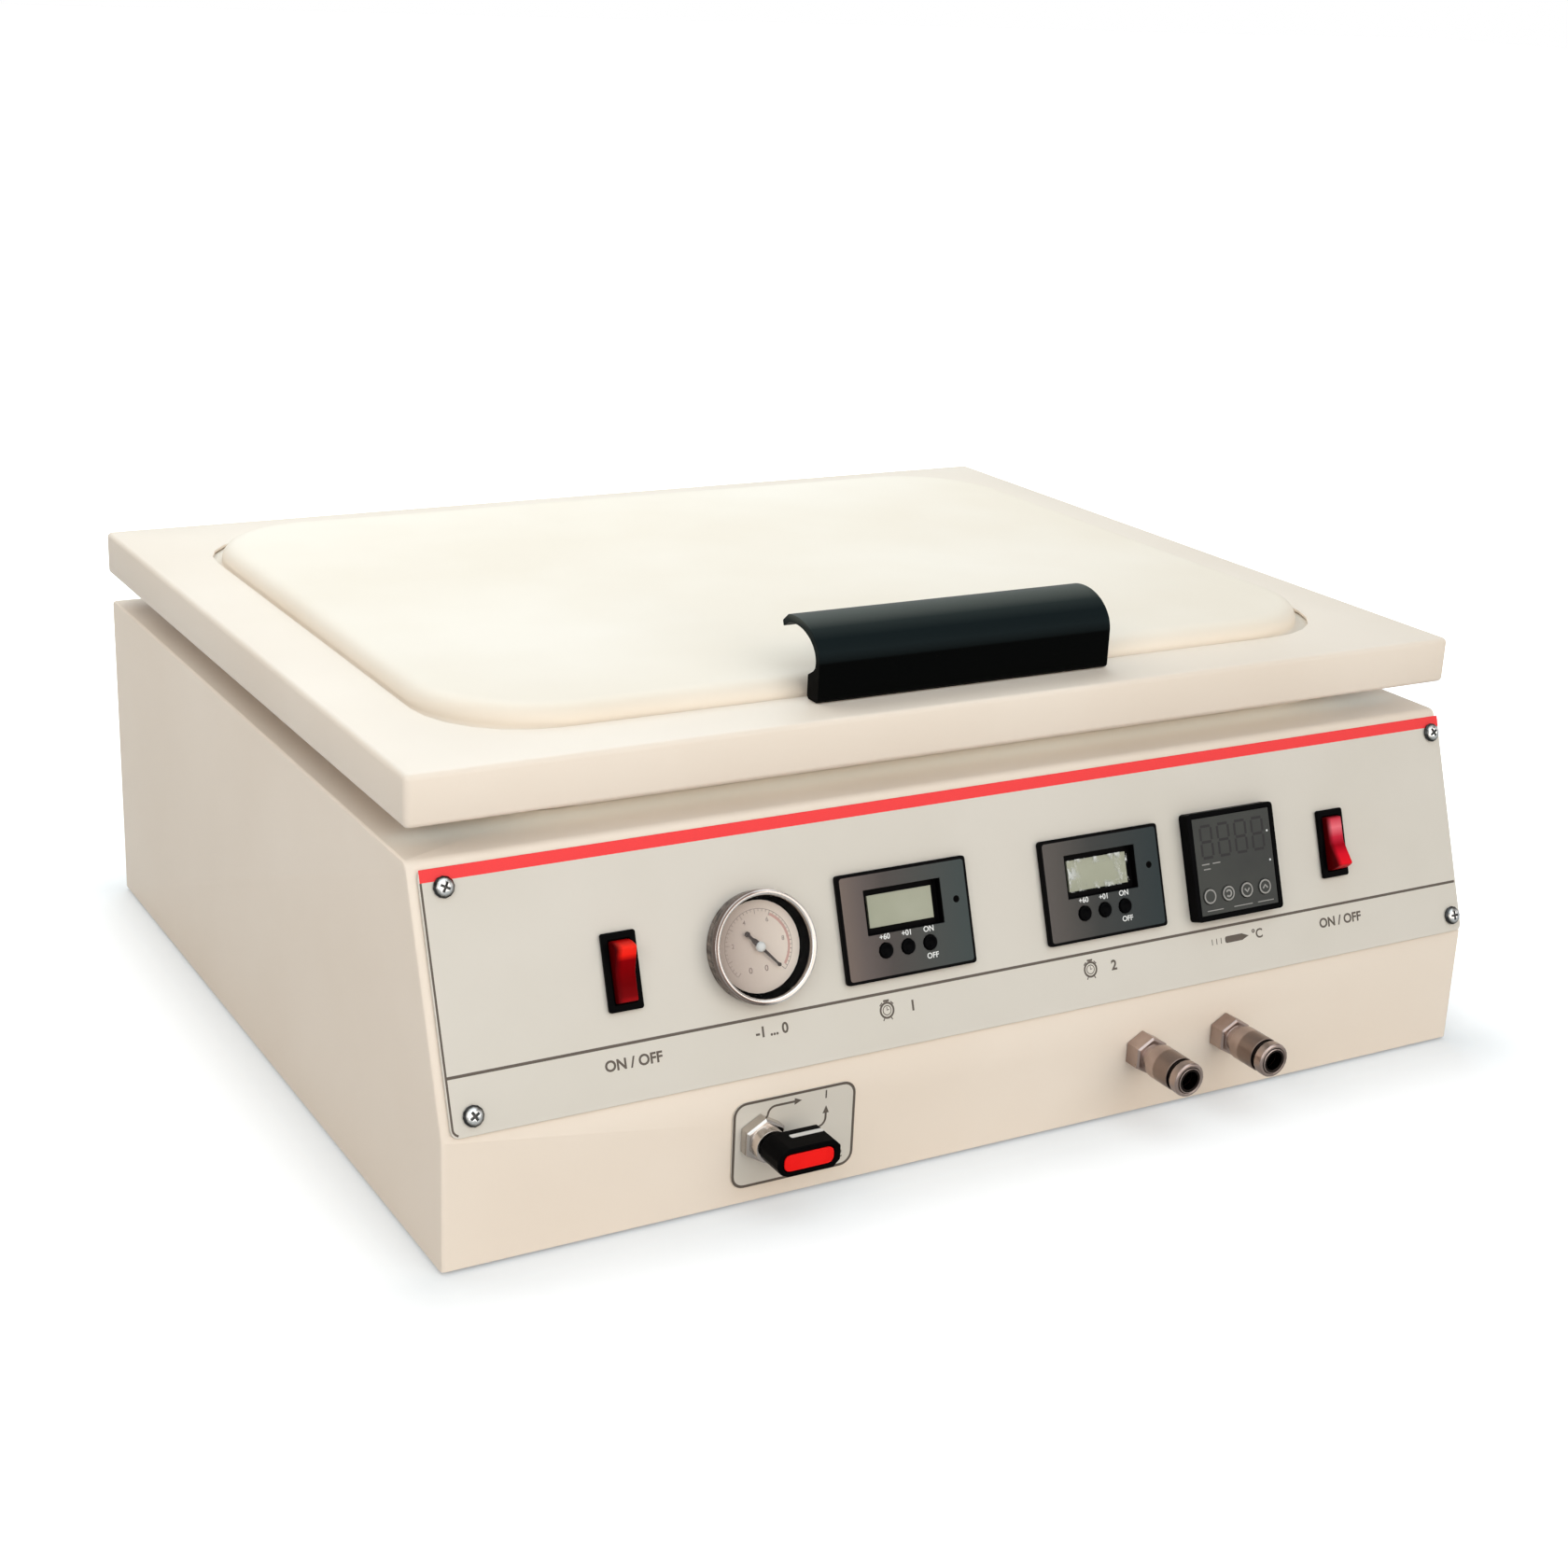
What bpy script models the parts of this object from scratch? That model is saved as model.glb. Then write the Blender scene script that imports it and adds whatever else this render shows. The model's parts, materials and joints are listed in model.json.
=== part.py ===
"""Tabletop vacuum press with a hinged membrane lid, timers, gauge and heated table.

Metres, +Z up, front towards -Y. The origin lies on the ground, below the middle of the whole
device. Controls sit on three faces, each with an empty whose local +Z leaves the face and whose
local +Y runs up it: the sloped control face, the lower front face and the rear face.
"""

import math

import bmesh
import bpy
from mathutils import Matrix, Vector

for item in list(bpy.data.objects):
    bpy.data.objects.remove(item, do_unlink=True)

# Clearances and cuts
seat_gap = 0.0003
running_gap = 0.0003
overrun = 0.002
weld_distance = 0.000001
smooth_angle = math.radians(35)
fold_angle = math.radians(60)
facing_share = 0.9

# Casing
body_width = 0.515
body_depth = 0.437
body_height = 0.1547
knee_height = 0.0544
slope_setback = 0.035
casing_sheet = 0.0015
top_bend_radius = 0.004
side_bend_radius = 0.0015
ground_gap = 0.0015
bend_segments = 4

# Base plate and feet
base_sheet = 0.0015
base_height = 0.008
foot_radius = 0.0125
foot_taper = 0.0015
foot_edge = 0.001
foot_inset = 0.032

# Rear panel
rear_sheet = 0.0015
vent_count = 9
vent_pitch = 0.012
vent_width = 0.005
vent_length = 0.05
vent_height = 0.095

# Table and its vacuum port
table_margin = 0.001
table_thickness = 0.0098
table_border_thickness = 0.0017
table_body_inset = 0.0024
table_opening_inset = 0.006
port_bore_radius = 0.0016
port_tail_radius = 0.004
port_tail_length = 0.012
port_inset = 0.011
heater_thickness = 0.0015
heater_inset = 0.021

# Lid
lid_front = 0.0324
lid_side_overhang = 0.0007
lid_rear_overhang = 0.0042
lid_border = 0.0328
lid_corner_radius = 0.003
lid_gap = 0.0139
lid_height = 0.021
lid_sheet = 0.0015
lid_bend_radius = 0.0022
lid_return_width = 0.006
lid_bend_segments = 3
opening_radius = 0.045
ring_overlap = 0.004
ring_width = 0.018
ring_drop = 0.0002
seal_width = 0.009
membrane_thickness = 0.0025
membrane_slack = 0.0016
membrane_crown = 0.0085
shoulder_width = 0.0085
shoulder_shares = ((0.12, 0.53), (0.26, 0.78), (0.56, 0.93), (1.0, 0.985))
membrane_bend_share = 0.8
corner_steps = 6

# Handle
handle_length = 0.1465
handle_offset = 0.002
handle_setback = 0.0199
handle_height = 0.032
handle_reach = 0.0315
handle_wall = 0.0034
handle_front_height = 0.0165
handle_foot_depth = 0.0092
handle_foot_height = 0.0115
handle_foot_chamfer = 0.0012
handle_lip_drop = 0.0035
handle_lip_shares = (0.25, 0.7)
handle_arc_share = 0.66
handle_step_share = 0.3
handle_outer_turn = math.radians(108)
handle_inner_turn = math.radians(118)
handle_arc_steps = 6

# Hinges
hinge_inset = 0.0875
hinge_knuckle_radius = 0.005
hinge_pin_radius = 0.0022
hinge_base_width = 0.018
hinge_cheek_width = 0.010
hinge_plate = 0.003
hinge_base_height = 0.028
hinge_arm_height = 0.0185
hinge_neck_drop = 0.007
pin_head_radius = 0.0034
pin_head_height = 0.0015

# Fascia
fascia_left = 0.0038
fascia_right = 0.0010
fascia_bottom = 0.0012
fascia_top_gap = 0.0033
fascia_sheet = 0.0015
fascia_corner_radius = 0.003
screw_left_inset = 0.0096
screw_right_inset = 0.0052
screw_edge_inset = 0.0075
screw_head_radius = 0.0043
screw_head_height = 0.0024
screw_head_shares = ((0, 1), (0.45, 0.97), (0.8, 0.75), (1, 0.3))
screw_shank_radius = 0.0019
screw_shank_length = 0.009
screw_cross_length = 0.0042
screw_cross_width = 0.001
screw_cross_depth = 0.0011
screw_turn = math.radians(30)

# Places of the controls: shares of the casing's width, from its left side, and of the fascia's height
control_line_share = 0.505
pump_switch_share = 0.1569
gauge_share = 0.2742
pump_timer_share = 0.4089
heat_timer_share = 0.6037
controller_share = 0.7388
heat_switch_share = 0.8555
valve_share = 0.2652
coupler_shares = (0.6384, 0.7289)

# Rocker switches
switch_width = 0.0148
switch_height = 0.031
switch_flange = 0.002
switch_corner_radius = 0.0008
switch_body_depth = 0.02
switch_lip = 0.0015
switch_wall = 0.0012
switch_window_width = 0.0092
rocker_radius = 0.0122
rocker_top_share = 0.43
rocker_valley = 0.0031
rocker_floor = 0.0034
rocker_tilt = math.radians(12)
rocker_arc_steps = 4
rocker_pivot_drop = 0.0004

# Gauge
gauge_radius = 0.0232
gauge_case_radius = 0.0205
gauge_proud = 0.0085
gauge_rim = 0.0022
gauge_rim_step = 0.003
gauge_rim_edge = 0.0005
gauge_bezel_back = 0.0012
gauge_bezel_step = 0.0006
gauge_wall = 0.0015
gauge_depth = 0.02
gauge_dial_height = 0.0005
gauge_dial_thickness = 0.0008
gauge_lens_thickness = 0.0016
gauge_lens_drop = 0.0008
gauge_stem_radius = 0.006
gauge_stem_length = 0.014
gauge_pivot_radius = 0.0007
pointer_hub_radius = 0.0023
pointer_hub_height = 0.0012
pointer_length = 0.0165
pointer_tail = 0.0085
pointer_width = 0.0015
pointer_tip_width = 0.0005
pointer_thickness = 0.0006
pointer_height = 0.0012
pointer_rest = math.radians(-48)

# Timers: places inside a timer are measured from its left and lower edges
timer_width = 0.0626
timer_height = 0.0452
timer_flange = 0.0026
timer_corner_radius = 0.0012
timer_lip = 0.004
timer_body_depth = 0.013
timer_window_left = 0.0120
timer_window_bottom = 0.0188
timer_window_width = 0.0372
timer_window_height = 0.0188
timer_window_recess = 0.0045
timer_mask_side = 0.0031
timer_mask_edge = 0.0027
timer_display_thickness = 0.001
timer_button_left = 0.0195
timer_button_pitch = 0.0107
timer_button_bottom = 0.0118
timer_button_radius = 0.0031
timer_button_flat = 0.0022
timer_button_proud = 0.0009
timer_button_travel = 0.0006
timer_button_depth = 0.004
timer_button_count = 3

# Temperature controller
controller_size = 0.048
controller_proud = 0.006
controller_corner_radius = 0.0016
controller_lip = 0.0015
controller_depth = 0.07
controller_window_inset = 0.0022
controller_window_recess = 0.0012
controller_window_drop = 0.0002
key_radius = 0.0034
key_proud = 0.0005
key_travel = 0.0004
key_depth = 0.0035
key_left = 0.0075
key_pitch = 0.01035
key_bottom = 0.0108
key_count = 4

# Valve: its axis is measured up from the casing's lower edge
valve_height = 0.0292
plate_left = 0.0124
plate_width = 0.0572
plate_height = 0.0384
plate_bottom = 0.0070
plate_sheet = 0.0006
plate_corner_radius = 0.006
barrel_radius = 0.0062
nut_across_flats = 0.0172
nut_height = 0.0055
nut_chamfer = 0.0009
collar_radius = 0.0072
collar_height = 0.005
stem_radius = 0.0028
stem_length = 0.007
valve_block_size = 0.02
valve_block_depth = 0.026
lever_arm = 0.0228
lever_heel = 0.0062
lever_width = 0.0124
lever_chamfer = 0.0031
lever_depth = 0.0148
lever_bore_depth = 0.0078
lever_heel_angles = (math.radians(100), math.radians(260))
lever_heel_steps = 5
insert_length = 0.0232
insert_width = 0.0078
insert_corner_radius = 0.0026
insert_depth = 0.0009
insert_proud = 0.0003

# Quick couplers: measured as the valve is
coupler_height = 0.0297
coupler_reach = 0.0352
coupler_hex_across_flats = 0.0155
coupler_hex_height = 0.0085
coupler_hex_chamfer = 0.0008
coupler_tube_radius = 0.0058
coupler_bore_radius = 0.0043
coupler_bore_depth = 0.022
coupler_tail_radius = 0.0048
coupler_tail_length = 0.016
sleeve_radius = 0.0078
sleeve_neck_radius = 0.0066
sleeve_ring_length = 0.0045
sleeve_groove_length = 0.0022
sleeve_edge = 0.0006
sleeve_travel = 0.0035
sleeve_spare_travel = 0.0007

# Pump and hose
pump_left = 0.055
pump_rear = 0.15
pump_motor_radius = 0.031
pump_motor_length = 0.095
pump_head_length = 0.046
pump_head_depth = 0.056
pump_head_height = 0.078
pump_base_depth = 0.06
pump_base_height = 0.004
pump_port_radius = 0.0045
pump_port_height = 0.012
hose_radius = 0.0042
hose_bow = 0.022
hose_points = 14

# Mains inlet on the rear panel: from the right side and up from the casing's lower edge
inlet_place = 0.062
inlet_height = 0.04
inlet_flange_width = 0.050
inlet_flange_height = 0.0248
inlet_flange = 0.0028
inlet_flange_radius = 0.003
inlet_body_width = 0.0272
inlet_body_height = 0.0196
inlet_body_depth = 0.022
inlet_recess_width = 0.0246
inlet_recess_height = 0.0168
inlet_recess_depth = 0.0155
inlet_blade_width = 0.0042
inlet_blade_thickness = 0.0022
inlet_blade_length = 0.010
inlet_blade_spread = 0.0066
inlet_blade_rise = 0.0028

# Facets of round pieces
fine_steps = 36
medium_steps = 20
coarse_steps = 12

# Sizes that follow
lid_width = body_width + lid_side_overhang * 2
lid_depth = body_depth + lid_rear_overhang - lid_front
opening_width = lid_width - lid_border * 2
opening_depth = lid_depth - lid_border * 2
casing_top = ground_gap + body_height
lid_bottom = casing_top + lid_gap
lid_top = lid_bottom + lid_height
hinge_axis_reach = lid_front + lid_depth + seat_gap + hinge_knuckle_radius
rear_reach = hinge_axis_reach + hinge_knuckle_radius
front_y = (coupler_reach - rear_reach) / 2
rear_y = front_y + body_depth
left_x = -body_width / 2
right_x = body_width / 2
lid_centre_y = front_y + lid_front + lid_depth / 2
hinge_axis_y = front_y + hinge_axis_reach
slope_rise = body_height - knee_height
slope_angle = math.atan2(slope_setback, slope_rise)
fascia_height = math.hypot(slope_setback, slope_rise) - fascia_bottom - fascia_top_gap
top_bend_length = top_bend_radius * math.tan((math.pi / 2 - slope_angle) / 2)
fascia_face = seat_gap + fascia_sheet
table_bottom = casing_top + seat_gap
table_top = table_bottom + table_thickness
ring_bottom = lid_bottom - ring_drop
membrane_top = lid_top - lid_sheet - seat_gap
membrane_bottom = membrane_top - membrane_thickness
ring_height = membrane_bottom - seat_gap - ring_bottom
ring_inner_width = opening_width + ring_overlap * 2
ring_inner_depth = opening_depth + ring_overlap * 2
ring_inner_radius = opening_radius + ring_overlap
seal_offset = (ring_width - seal_width) / 2
seal_reach = ring_overlap + seal_offset + seal_width
control_line = fascia_bottom + fascia_height * control_line_share
pump_switch_place = body_width * pump_switch_share
gauge_place = body_width * gauge_share
pump_timer_place = body_width * pump_timer_share
heat_timer_place = body_width * heat_timer_share
controller_place = body_width * controller_share
heat_switch_place = body_width * heat_switch_share
valve_place = body_width * valve_share
coupler_places = [body_width * share for share in coupler_shares]
hinge_place = body_width / 2 - hinge_inset

# Turns that carry an outline drawn in X and Y onto another plane
facing_front = (math.pi / 2, 0, 0)
facing_rear = (math.pi / 2, 0, math.pi)
facing_right = (math.pi / 2, 0, math.pi / 2)

parts = bpy.data.collections.new("podiatry_vacuum_press")
cutters = bpy.data.collections.new("cutters")
bpy.context.scene.collection.children.link(parts)
bpy.context.scene.collection.children.link(cutters)


def finish(name, colour, roughness, metallic=0.0, alpha=1.0):
    """A plain finish: colour, roughness and metallic value."""
    material = bpy.data.materials.new(name)
    material.use_nodes = True
    shader = material.node_tree.nodes["Principled BSDF"]
    shader.inputs["Base Color"].default_value = (*colour, 1.0)
    shader.inputs["Roughness"].default_value = roughness
    shader.inputs["Metallic"].default_value = metallic
    shader.inputs["Alpha"].default_value = alpha
    return material


cream_coat = finish("cream_powder_coat", (0.86, 0.80, 0.71), 0.45)
cream_silicone = finish("cream_silicone", (0.90, 0.84, 0.74), 0.55)
fascia_film = finish("fascia_film", (0.68, 0.65, 0.60), 0.5)
black_plastic = finish("black_plastic", (0.02, 0.02, 0.022), 0.4)
timer_plastic = finish("timer_plastic", (0.07, 0.055, 0.055), 0.5)
dark_window = finish("dark_window", (0.015, 0.012, 0.012), 0.12)
black_anodised = finish("black_anodised", (0.012, 0.014, 0.016), 0.35, 0.3)
red_rocker = finish("red_rocker", (0.72, 0.01, 0.01), 0.25)
red_insert = finish("red_insert", (0.90, 0.02, 0.015), 0.35)
chrome_plate = finish("chrome_plate", (0.80, 0.79, 0.77), 0.12, 1.0)
nickel_plate = finish("nickel_plate", (0.50, 0.45, 0.41), 0.3, 1.0)
bright_steel = finish("bright_steel", (0.62, 0.62, 0.63), 0.3, 1.0)
bare_aluminium = finish("bare_aluminium", (0.72, 0.73, 0.74), 0.4, 1.0)
dial_enamel = finish("dial_enamel", (0.82, 0.76, 0.73), 0.5)
pointer_paint = finish("pointer_paint", (0.06, 0.05, 0.05), 0.4)
clear_lens = finish("clear_lens", (0.95, 0.95, 0.95), 0.05, 0.0, 0.3)
display_glass = finish("display_glass", (0.40, 0.41, 0.32), 0.25)
seal_rubber = finish("seal_rubber", (0.75, 0.72, 0.66), 0.7)
foot_rubber = finish("foot_rubber", (0.03, 0.03, 0.03), 0.8)
heater_silicone = finish("heater_silicone", (0.55, 0.16, 0.06), 0.6)
pump_paint = finish("pump_paint", (0.20, 0.22, 0.24), 0.5)
hose_silicone = finish("hose_silicone", (0.75, 0.75, 0.72), 0.4)


def empty(name, location, rotation=(0, 0, 0), parent=None):
    """A frame that carries other pieces."""
    frame = bpy.data.objects.new(name, None)
    parts.objects.link(frame)
    frame.parent = parent
    frame.location = location
    frame.rotation_euler = rotation
    return frame


def place(name, mesh, material, location=(0, 0, 0), rotation=(0, 0, 0), parent=None, smooth=False):
    """A named sub-part of the press."""
    piece = bpy.data.objects.new(name, mesh)
    parts.objects.link(piece)
    piece.parent = parent
    piece.location = location
    piece.rotation_euler = rotation
    mesh.materials.append(material)
    if smooth:
        mesh.shade_smooth()
        mesh.set_sharp_from_angle(angle=smooth_angle)
    return piece


def tool(name, mesh, location=(0, 0, 0), rotation=(0, 0, 0), parent=None):
    """A cutter, or a lump that a union adds to a piece."""
    cutter = bpy.data.objects.new(name, mesh)
    cutters.objects.link(cutter)
    cutter.parent = parent
    cutter.location = location
    cutter.rotation_euler = rotation
    cutter.display_type = "WIRE"
    cutter.hide_render = True
    return cutter


def combine(piece, other, operation="DIFFERENCE"):
    """Cut a tool out of a piece, or join it on."""
    step = piece.modifiers.new(operation.lower(), "BOOLEAN")
    step.operation = operation
    step.solver = "EXACT"
    step.object = other


def mesh_from(bm, name):
    """A mesh with its faces pointing out."""
    bmesh.ops.recalc_face_normals(bm, faces=bm.faces)
    mesh = bpy.data.meshes.new(name)
    bm.to_mesh(mesh)
    bm.free()
    return mesh


def add_block(bm, size, centre):
    """A box of the given size about a centre."""
    shape = Matrix.Translation(centre) @ Matrix.Diagonal((*size, 1))
    bmesh.ops.create_cube(bm, size=1, matrix=shape)


def add_cylinder(bm, radius, length, foot, steps):
    """A cylinder that stands on its foot, along +Z."""
    centre = Vector(foot) + Vector((0, 0, length / 2))
    bmesh.ops.create_cone(
        bm, cap_ends=True, segments=steps, radius1=radius, radius2=radius, depth=length,
        matrix=Matrix.Translation(centre),
    )


def block(name, size, centre=(0, 0, 0)):
    """A mesh of one box."""
    bm = bmesh.new()
    add_block(bm, size, centre)
    return mesh_from(bm, name)


def cylinder(name, radius, length, foot=(0, 0, 0), steps=coarse_steps):
    """A mesh of one cylinder that stands on its foot."""
    bm = bmesh.new()
    add_cylinder(bm, radius, length, foot, steps)
    return mesh_from(bm, name)


def rectangle(width, height, centre=(0, 0)):
    """The corners of a rectangle."""
    across, up = width / 2, height / 2
    corners = ((-across, -up), (across, -up), (across, up), (-across, up))
    return [(centre[0] + x, centre[1] + y) for x, y in corners]


def arc(centre, radius, start, end, steps):
    """Points along an arc, both ends included."""
    points = []
    for step in range(steps + 1):
        angle = start + (end - start) * step / steps
        points.append((centre[0] + radius * math.cos(angle), centre[1] + radius * math.sin(angle)))
    return points


def circle(radius, centre=(0, 0), steps=coarse_steps):
    """Points around a circle."""
    return arc(centre, radius, 0, math.tau, steps)[:-1]


def rounded_rectangle(width, height, radius, steps=3, centre=(0, 0)):
    """A rectangle whose corners are arcs."""
    across, up = width / 2 - radius, height / 2 - radius
    corners = ((across, up), (-across, up), (-across, -up), (across, -up))
    points = []
    for quarter, (x, y) in enumerate(corners):
        start = quarter * math.pi / 2
        points += arc((centre[0] + x, centre[1] + y), radius, start, start + math.pi / 2, steps)
    return points


def extruded(name, loops, thickness):
    """A flat outline with its holes, as thick as given, standing on Z = 0."""
    curve = bpy.data.curves.new(name, "CURVE")
    curve.dimensions = "2D"
    curve.fill_mode = "BOTH"
    curve.extrude = thickness / 2
    for loop in loops:
        spline = curve.splines.new("POLY")
        spline.points.add(len(loop) - 1)
        for point, (x, y) in zip(spline.points, loop):
            point.co = (x, y, 0, 1)
        spline.use_cyclic_u = True
    holder = bpy.data.objects.new(name, curve)
    parts.objects.link(holder)
    evaluated = holder.evaluated_get(bpy.context.evaluated_depsgraph_get())
    mesh = bpy.data.meshes.new_from_object(evaluated)
    bpy.data.objects.remove(holder)
    bpy.data.curves.remove(curve)
    bm = bmesh.new()
    bm.from_mesh(mesh)
    bpy.data.meshes.remove(mesh)
    bmesh.ops.remove_doubles(bm, verts=bm.verts, dist=weld_distance)
    bmesh.ops.translate(bm, verts=bm.verts, vec=(0, 0, thickness / 2))
    return mesh_from(bm, name)


def turned(piece_name, profile, steps, material, **placing):
    """A turned piece: the profile runs from the axis out, down its outer side and back."""
    mesh = bpy.data.meshes.new(piece_name)
    points = [(radius, 0, height) for radius, height in profile]
    edges = [(index, index + 1) for index in range(len(points) - 1)]
    mesh.from_pydata(points, edges, [])
    piece = place(piece_name, mesh, material, **placing)
    step = piece.modifiers.new("turned", "SCREW")
    step.axis = "Z"
    step.angle = math.tau
    step.steps = steps
    step.render_steps = steps
    step.use_merge_vertices = True
    step.merge_threshold = weld_distance
    step.use_smooth_shade = True
    return piece


def add_loop(bm, points, height):
    """A closed loop of edges at one height."""
    corners = [bm.verts.new((x, y, height)) for x, y in points]
    return [bm.edges.new((corners[index - 1], corners[index])) for index in range(len(corners))]


slope_face = empty("slope_face", (left_x, front_y, ground_gap + knee_height),
                   (math.pi / 2 - slope_angle, 0, 0))
front_face = empty("front_face", (left_x, front_y, ground_gap), facing_front)
rear_face = empty("rear_face", (right_x, rear_y, ground_gap), facing_rear)


def opening_loop(grow, radius_grow=None, steps=corner_steps):
    """The lid's opening, grown or drawn in, about the lid's centre."""
    radius = opening_radius + (grow if radius_grow is None else radius_grow)
    return rounded_rectangle(opening_width + grow * 2, opening_depth + grow * 2, radius, steps)


def casing_holes(parent):
    """Cutters for what passes through the sloped face, in the slope's own frame."""
    bm = bmesh.new()
    depth = casing_sheet + overrun * 2
    middle = -casing_sheet / 2
    for place_x in (pump_switch_place, heat_switch_place):
        width = switch_width - switch_lip * 2 + running_gap * 2
        height = switch_height - switch_lip * 2 + running_gap * 2
        add_block(bm, (width, height, depth), (place_x, control_line, middle))
    for place_x in (pump_timer_place, heat_timer_place):
        width = timer_width - timer_lip * 2 + running_gap * 2
        height = timer_height - timer_lip * 2 + running_gap * 2
        add_block(bm, (width, height, depth), (place_x, control_line, middle))
    side = controller_size - controller_lip * 2 + running_gap * 2
    add_block(bm, (side, side, depth), (controller_place, control_line, middle))
    foot = (gauge_place, control_line, middle - depth / 2)
    add_cylinder(bm, gauge_case_radius + running_gap, depth, foot, fine_steps)
    for x, y in screw_places():
        add_cylinder(bm, screw_shank_radius + running_gap, depth, (x, y, middle - depth / 2),
                     coarse_steps)
    return tool("slope_cutter", mesh_from(bm, "slope_cutter"), parent=parent)


def screw_places():
    """The fascia screws' places in the slope's frame: left to right, lower before upper."""
    columns = (fascia_left + screw_left_inset, body_width - fascia_right - screw_right_inset)
    rows = (fascia_bottom + screw_edge_inset, fascia_bottom + fascia_height - screw_edge_inset)
    return [(x, y) for x in columns for y in rows]


def front_holes(parent):
    """Cutters for the valve barrel and the coupler tails, in the front face's frame."""
    bm = bmesh.new()
    depth = casing_sheet + overrun * 2
    foot_z = -casing_sheet - overrun
    add_cylinder(bm, barrel_radius + running_gap, depth, (valve_place, valve_height, foot_z),
                 medium_steps)
    for place_x in coupler_places:
        add_cylinder(bm, coupler_tail_radius + running_gap, depth,
                     (place_x, coupler_height, foot_z), medium_steps)
    return tool("front_cutter", mesh_from(bm, "front_cutter"), parent=parent)


def make_casing():
    """The folded shell: lower front, slope, top and both sides, open below and behind."""
    bm = bmesh.new()
    outline = (
        (0, 0), (0, knee_height), (slope_setback, body_height), (body_depth, body_height),
        (body_depth, 0),
    )
    corners = [bm.verts.new((left_x, front_y + y, ground_gap + z)) for y, z in outline]
    bm.faces.new(corners)
    far = bmesh.ops.extrude_face_region(bm, geom=bm.faces[:])
    moved = [part for part in far["geom"] if isinstance(part, bmesh.types.BMVert)]
    bmesh.ops.translate(bm, verts=moved, vec=(body_width, 0, 0))
    bmesh.ops.recalc_face_normals(bm, faces=bm.faces)
    is_open = [
        face for face in bm.faces
        if face.normal.z < -facing_share or face.normal.y > facing_share
    ]
    bmesh.ops.delete(bm, geom=is_open, context="FACES")
    bend = [
        edge for edge in bm.edges
        if all(abs(corner.co.y - front_y - slope_setback) < weld_distance for corner in edge.verts)
        and all(abs(corner.co.z - casing_top) < weld_distance for corner in edge.verts)
    ]
    bmesh.ops.bevel(bm, geom=bend, offset=top_bend_length, offset_type="OFFSET",
                    segments=bend_segments, profile=0.5, affect="EDGES", material=-1)
    sides = [
        edge for edge in bm.edges
        if len(edge.link_faces) == 2 and edge.calc_face_angle() > fold_angle
        and abs(edge.verts[0].co.x - edge.verts[1].co.x) < weld_distance
    ]
    bmesh.ops.bevel(bm, geom=sides, offset=side_bend_radius, offset_type="OFFSET", segments=2,
                    profile=0.5, affect="EDGES", material=-1)
    casing = place("casing", mesh_from(bm, "casing"), cream_coat, smooth=True)
    wall = casing.modifiers.new("sheet", "SOLIDIFY")
    wall.thickness = casing_sheet
    wall.offset = -1
    wall.use_even_offset = True
    loop = opening_loop(-table_opening_inset, steps=3)
    table_cutter = tool("table_cutter", extruded("table_cutter", [loop], casing_sheet + overrun * 2),
                        (0, lid_centre_y, casing_top - casing_sheet - overrun))
    combine(casing, table_cutter)
    combine(casing, casing_holes(slope_face))
    combine(casing, front_holes(front_face))


def make_base_plate():
    """The floor of the casing, held up by the feet."""
    inside = casing_sheet + seat_gap
    width = body_width - inside * 2
    depth = body_depth - inside - rear_sheet - seat_gap
    size = (width, depth, base_sheet)
    centre = (0, front_y + inside + depth / 2, base_height + base_sheet / 2)
    place("base_plate", block("base_plate", size), bright_steel, centre)


def make_feet():
    """Four rubber feet under the base plate."""
    height = base_height - seat_gap
    profile = (
        (0, height), (foot_radius, height), (foot_radius, height - foot_edge),
        (foot_radius - foot_taper, foot_edge), (foot_radius - foot_taper - foot_edge, 0), (0, 0),
    )
    reach = body_width / 2 - foot_inset
    rows = (front_y + foot_inset, rear_y - foot_inset)
    spots = [(x, y) for y in rows for x in (-reach, reach)]
    for number, (x, y) in enumerate(spots, 1):
        turned(f"foot_{number}", profile, coarse_steps, foot_rubber, location=(x, y, 0))


def make_rear_panel():
    """The rear cover: a row of vent slots and the mains inlet's window."""
    inside = casing_sheet + seat_gap
    width = body_width - inside * 2
    height = body_height - inside
    loops = [rectangle(width, height, (body_width / 2, height / 2))]
    loops.append(rectangle(
        inlet_body_width + running_gap * 2, inlet_body_height + running_gap * 2,
        (inlet_place, inlet_height),
    ))
    start = body_width / 2 - vent_pitch * (vent_count - 1) / 2
    for number in range(vent_count):
        loops.append(rounded_rectangle(
            vent_width, vent_length, vent_width / 2, 2, (start + vent_pitch * number, vent_height)))
    place("rear_panel", extruded("rear_panel", loops, rear_sheet), cream_coat,
          (0, 0, -rear_sheet), parent=rear_face)


def make_table():
    """The heated table: a thick plate with a thin border that carries the seal, and its port."""
    border = extruded("table_plate", [opening_loop(seal_reach + table_margin)],
                      table_border_thickness)
    table = place("table_plate", border, cream_coat,
                  (0, lid_centre_y, table_top - table_border_thickness))
    body = extruded("table_body", [opening_loop(-table_body_inset)],
                    table_thickness - table_border_thickness / 2)
    combine(table, tool("table_body", body, (0, lid_centre_y, table_bottom)), "UNION")
    x, y = port_spot()
    bite = table_thickness / 2
    tail = cylinder("port_tail", port_tail_radius, port_tail_length + bite, steps=medium_steps)
    combine(table, tool("port_tail", tail, (x, y, table_bottom - port_tail_length)), "UNION")
    length = port_tail_length + table_thickness + overrun * 2
    bore = cylinder("port_bore", port_bore_radius, length)
    combine(table, tool("port_bore", bore, (x, y, table_bottom - port_tail_length - overrun)))


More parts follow.
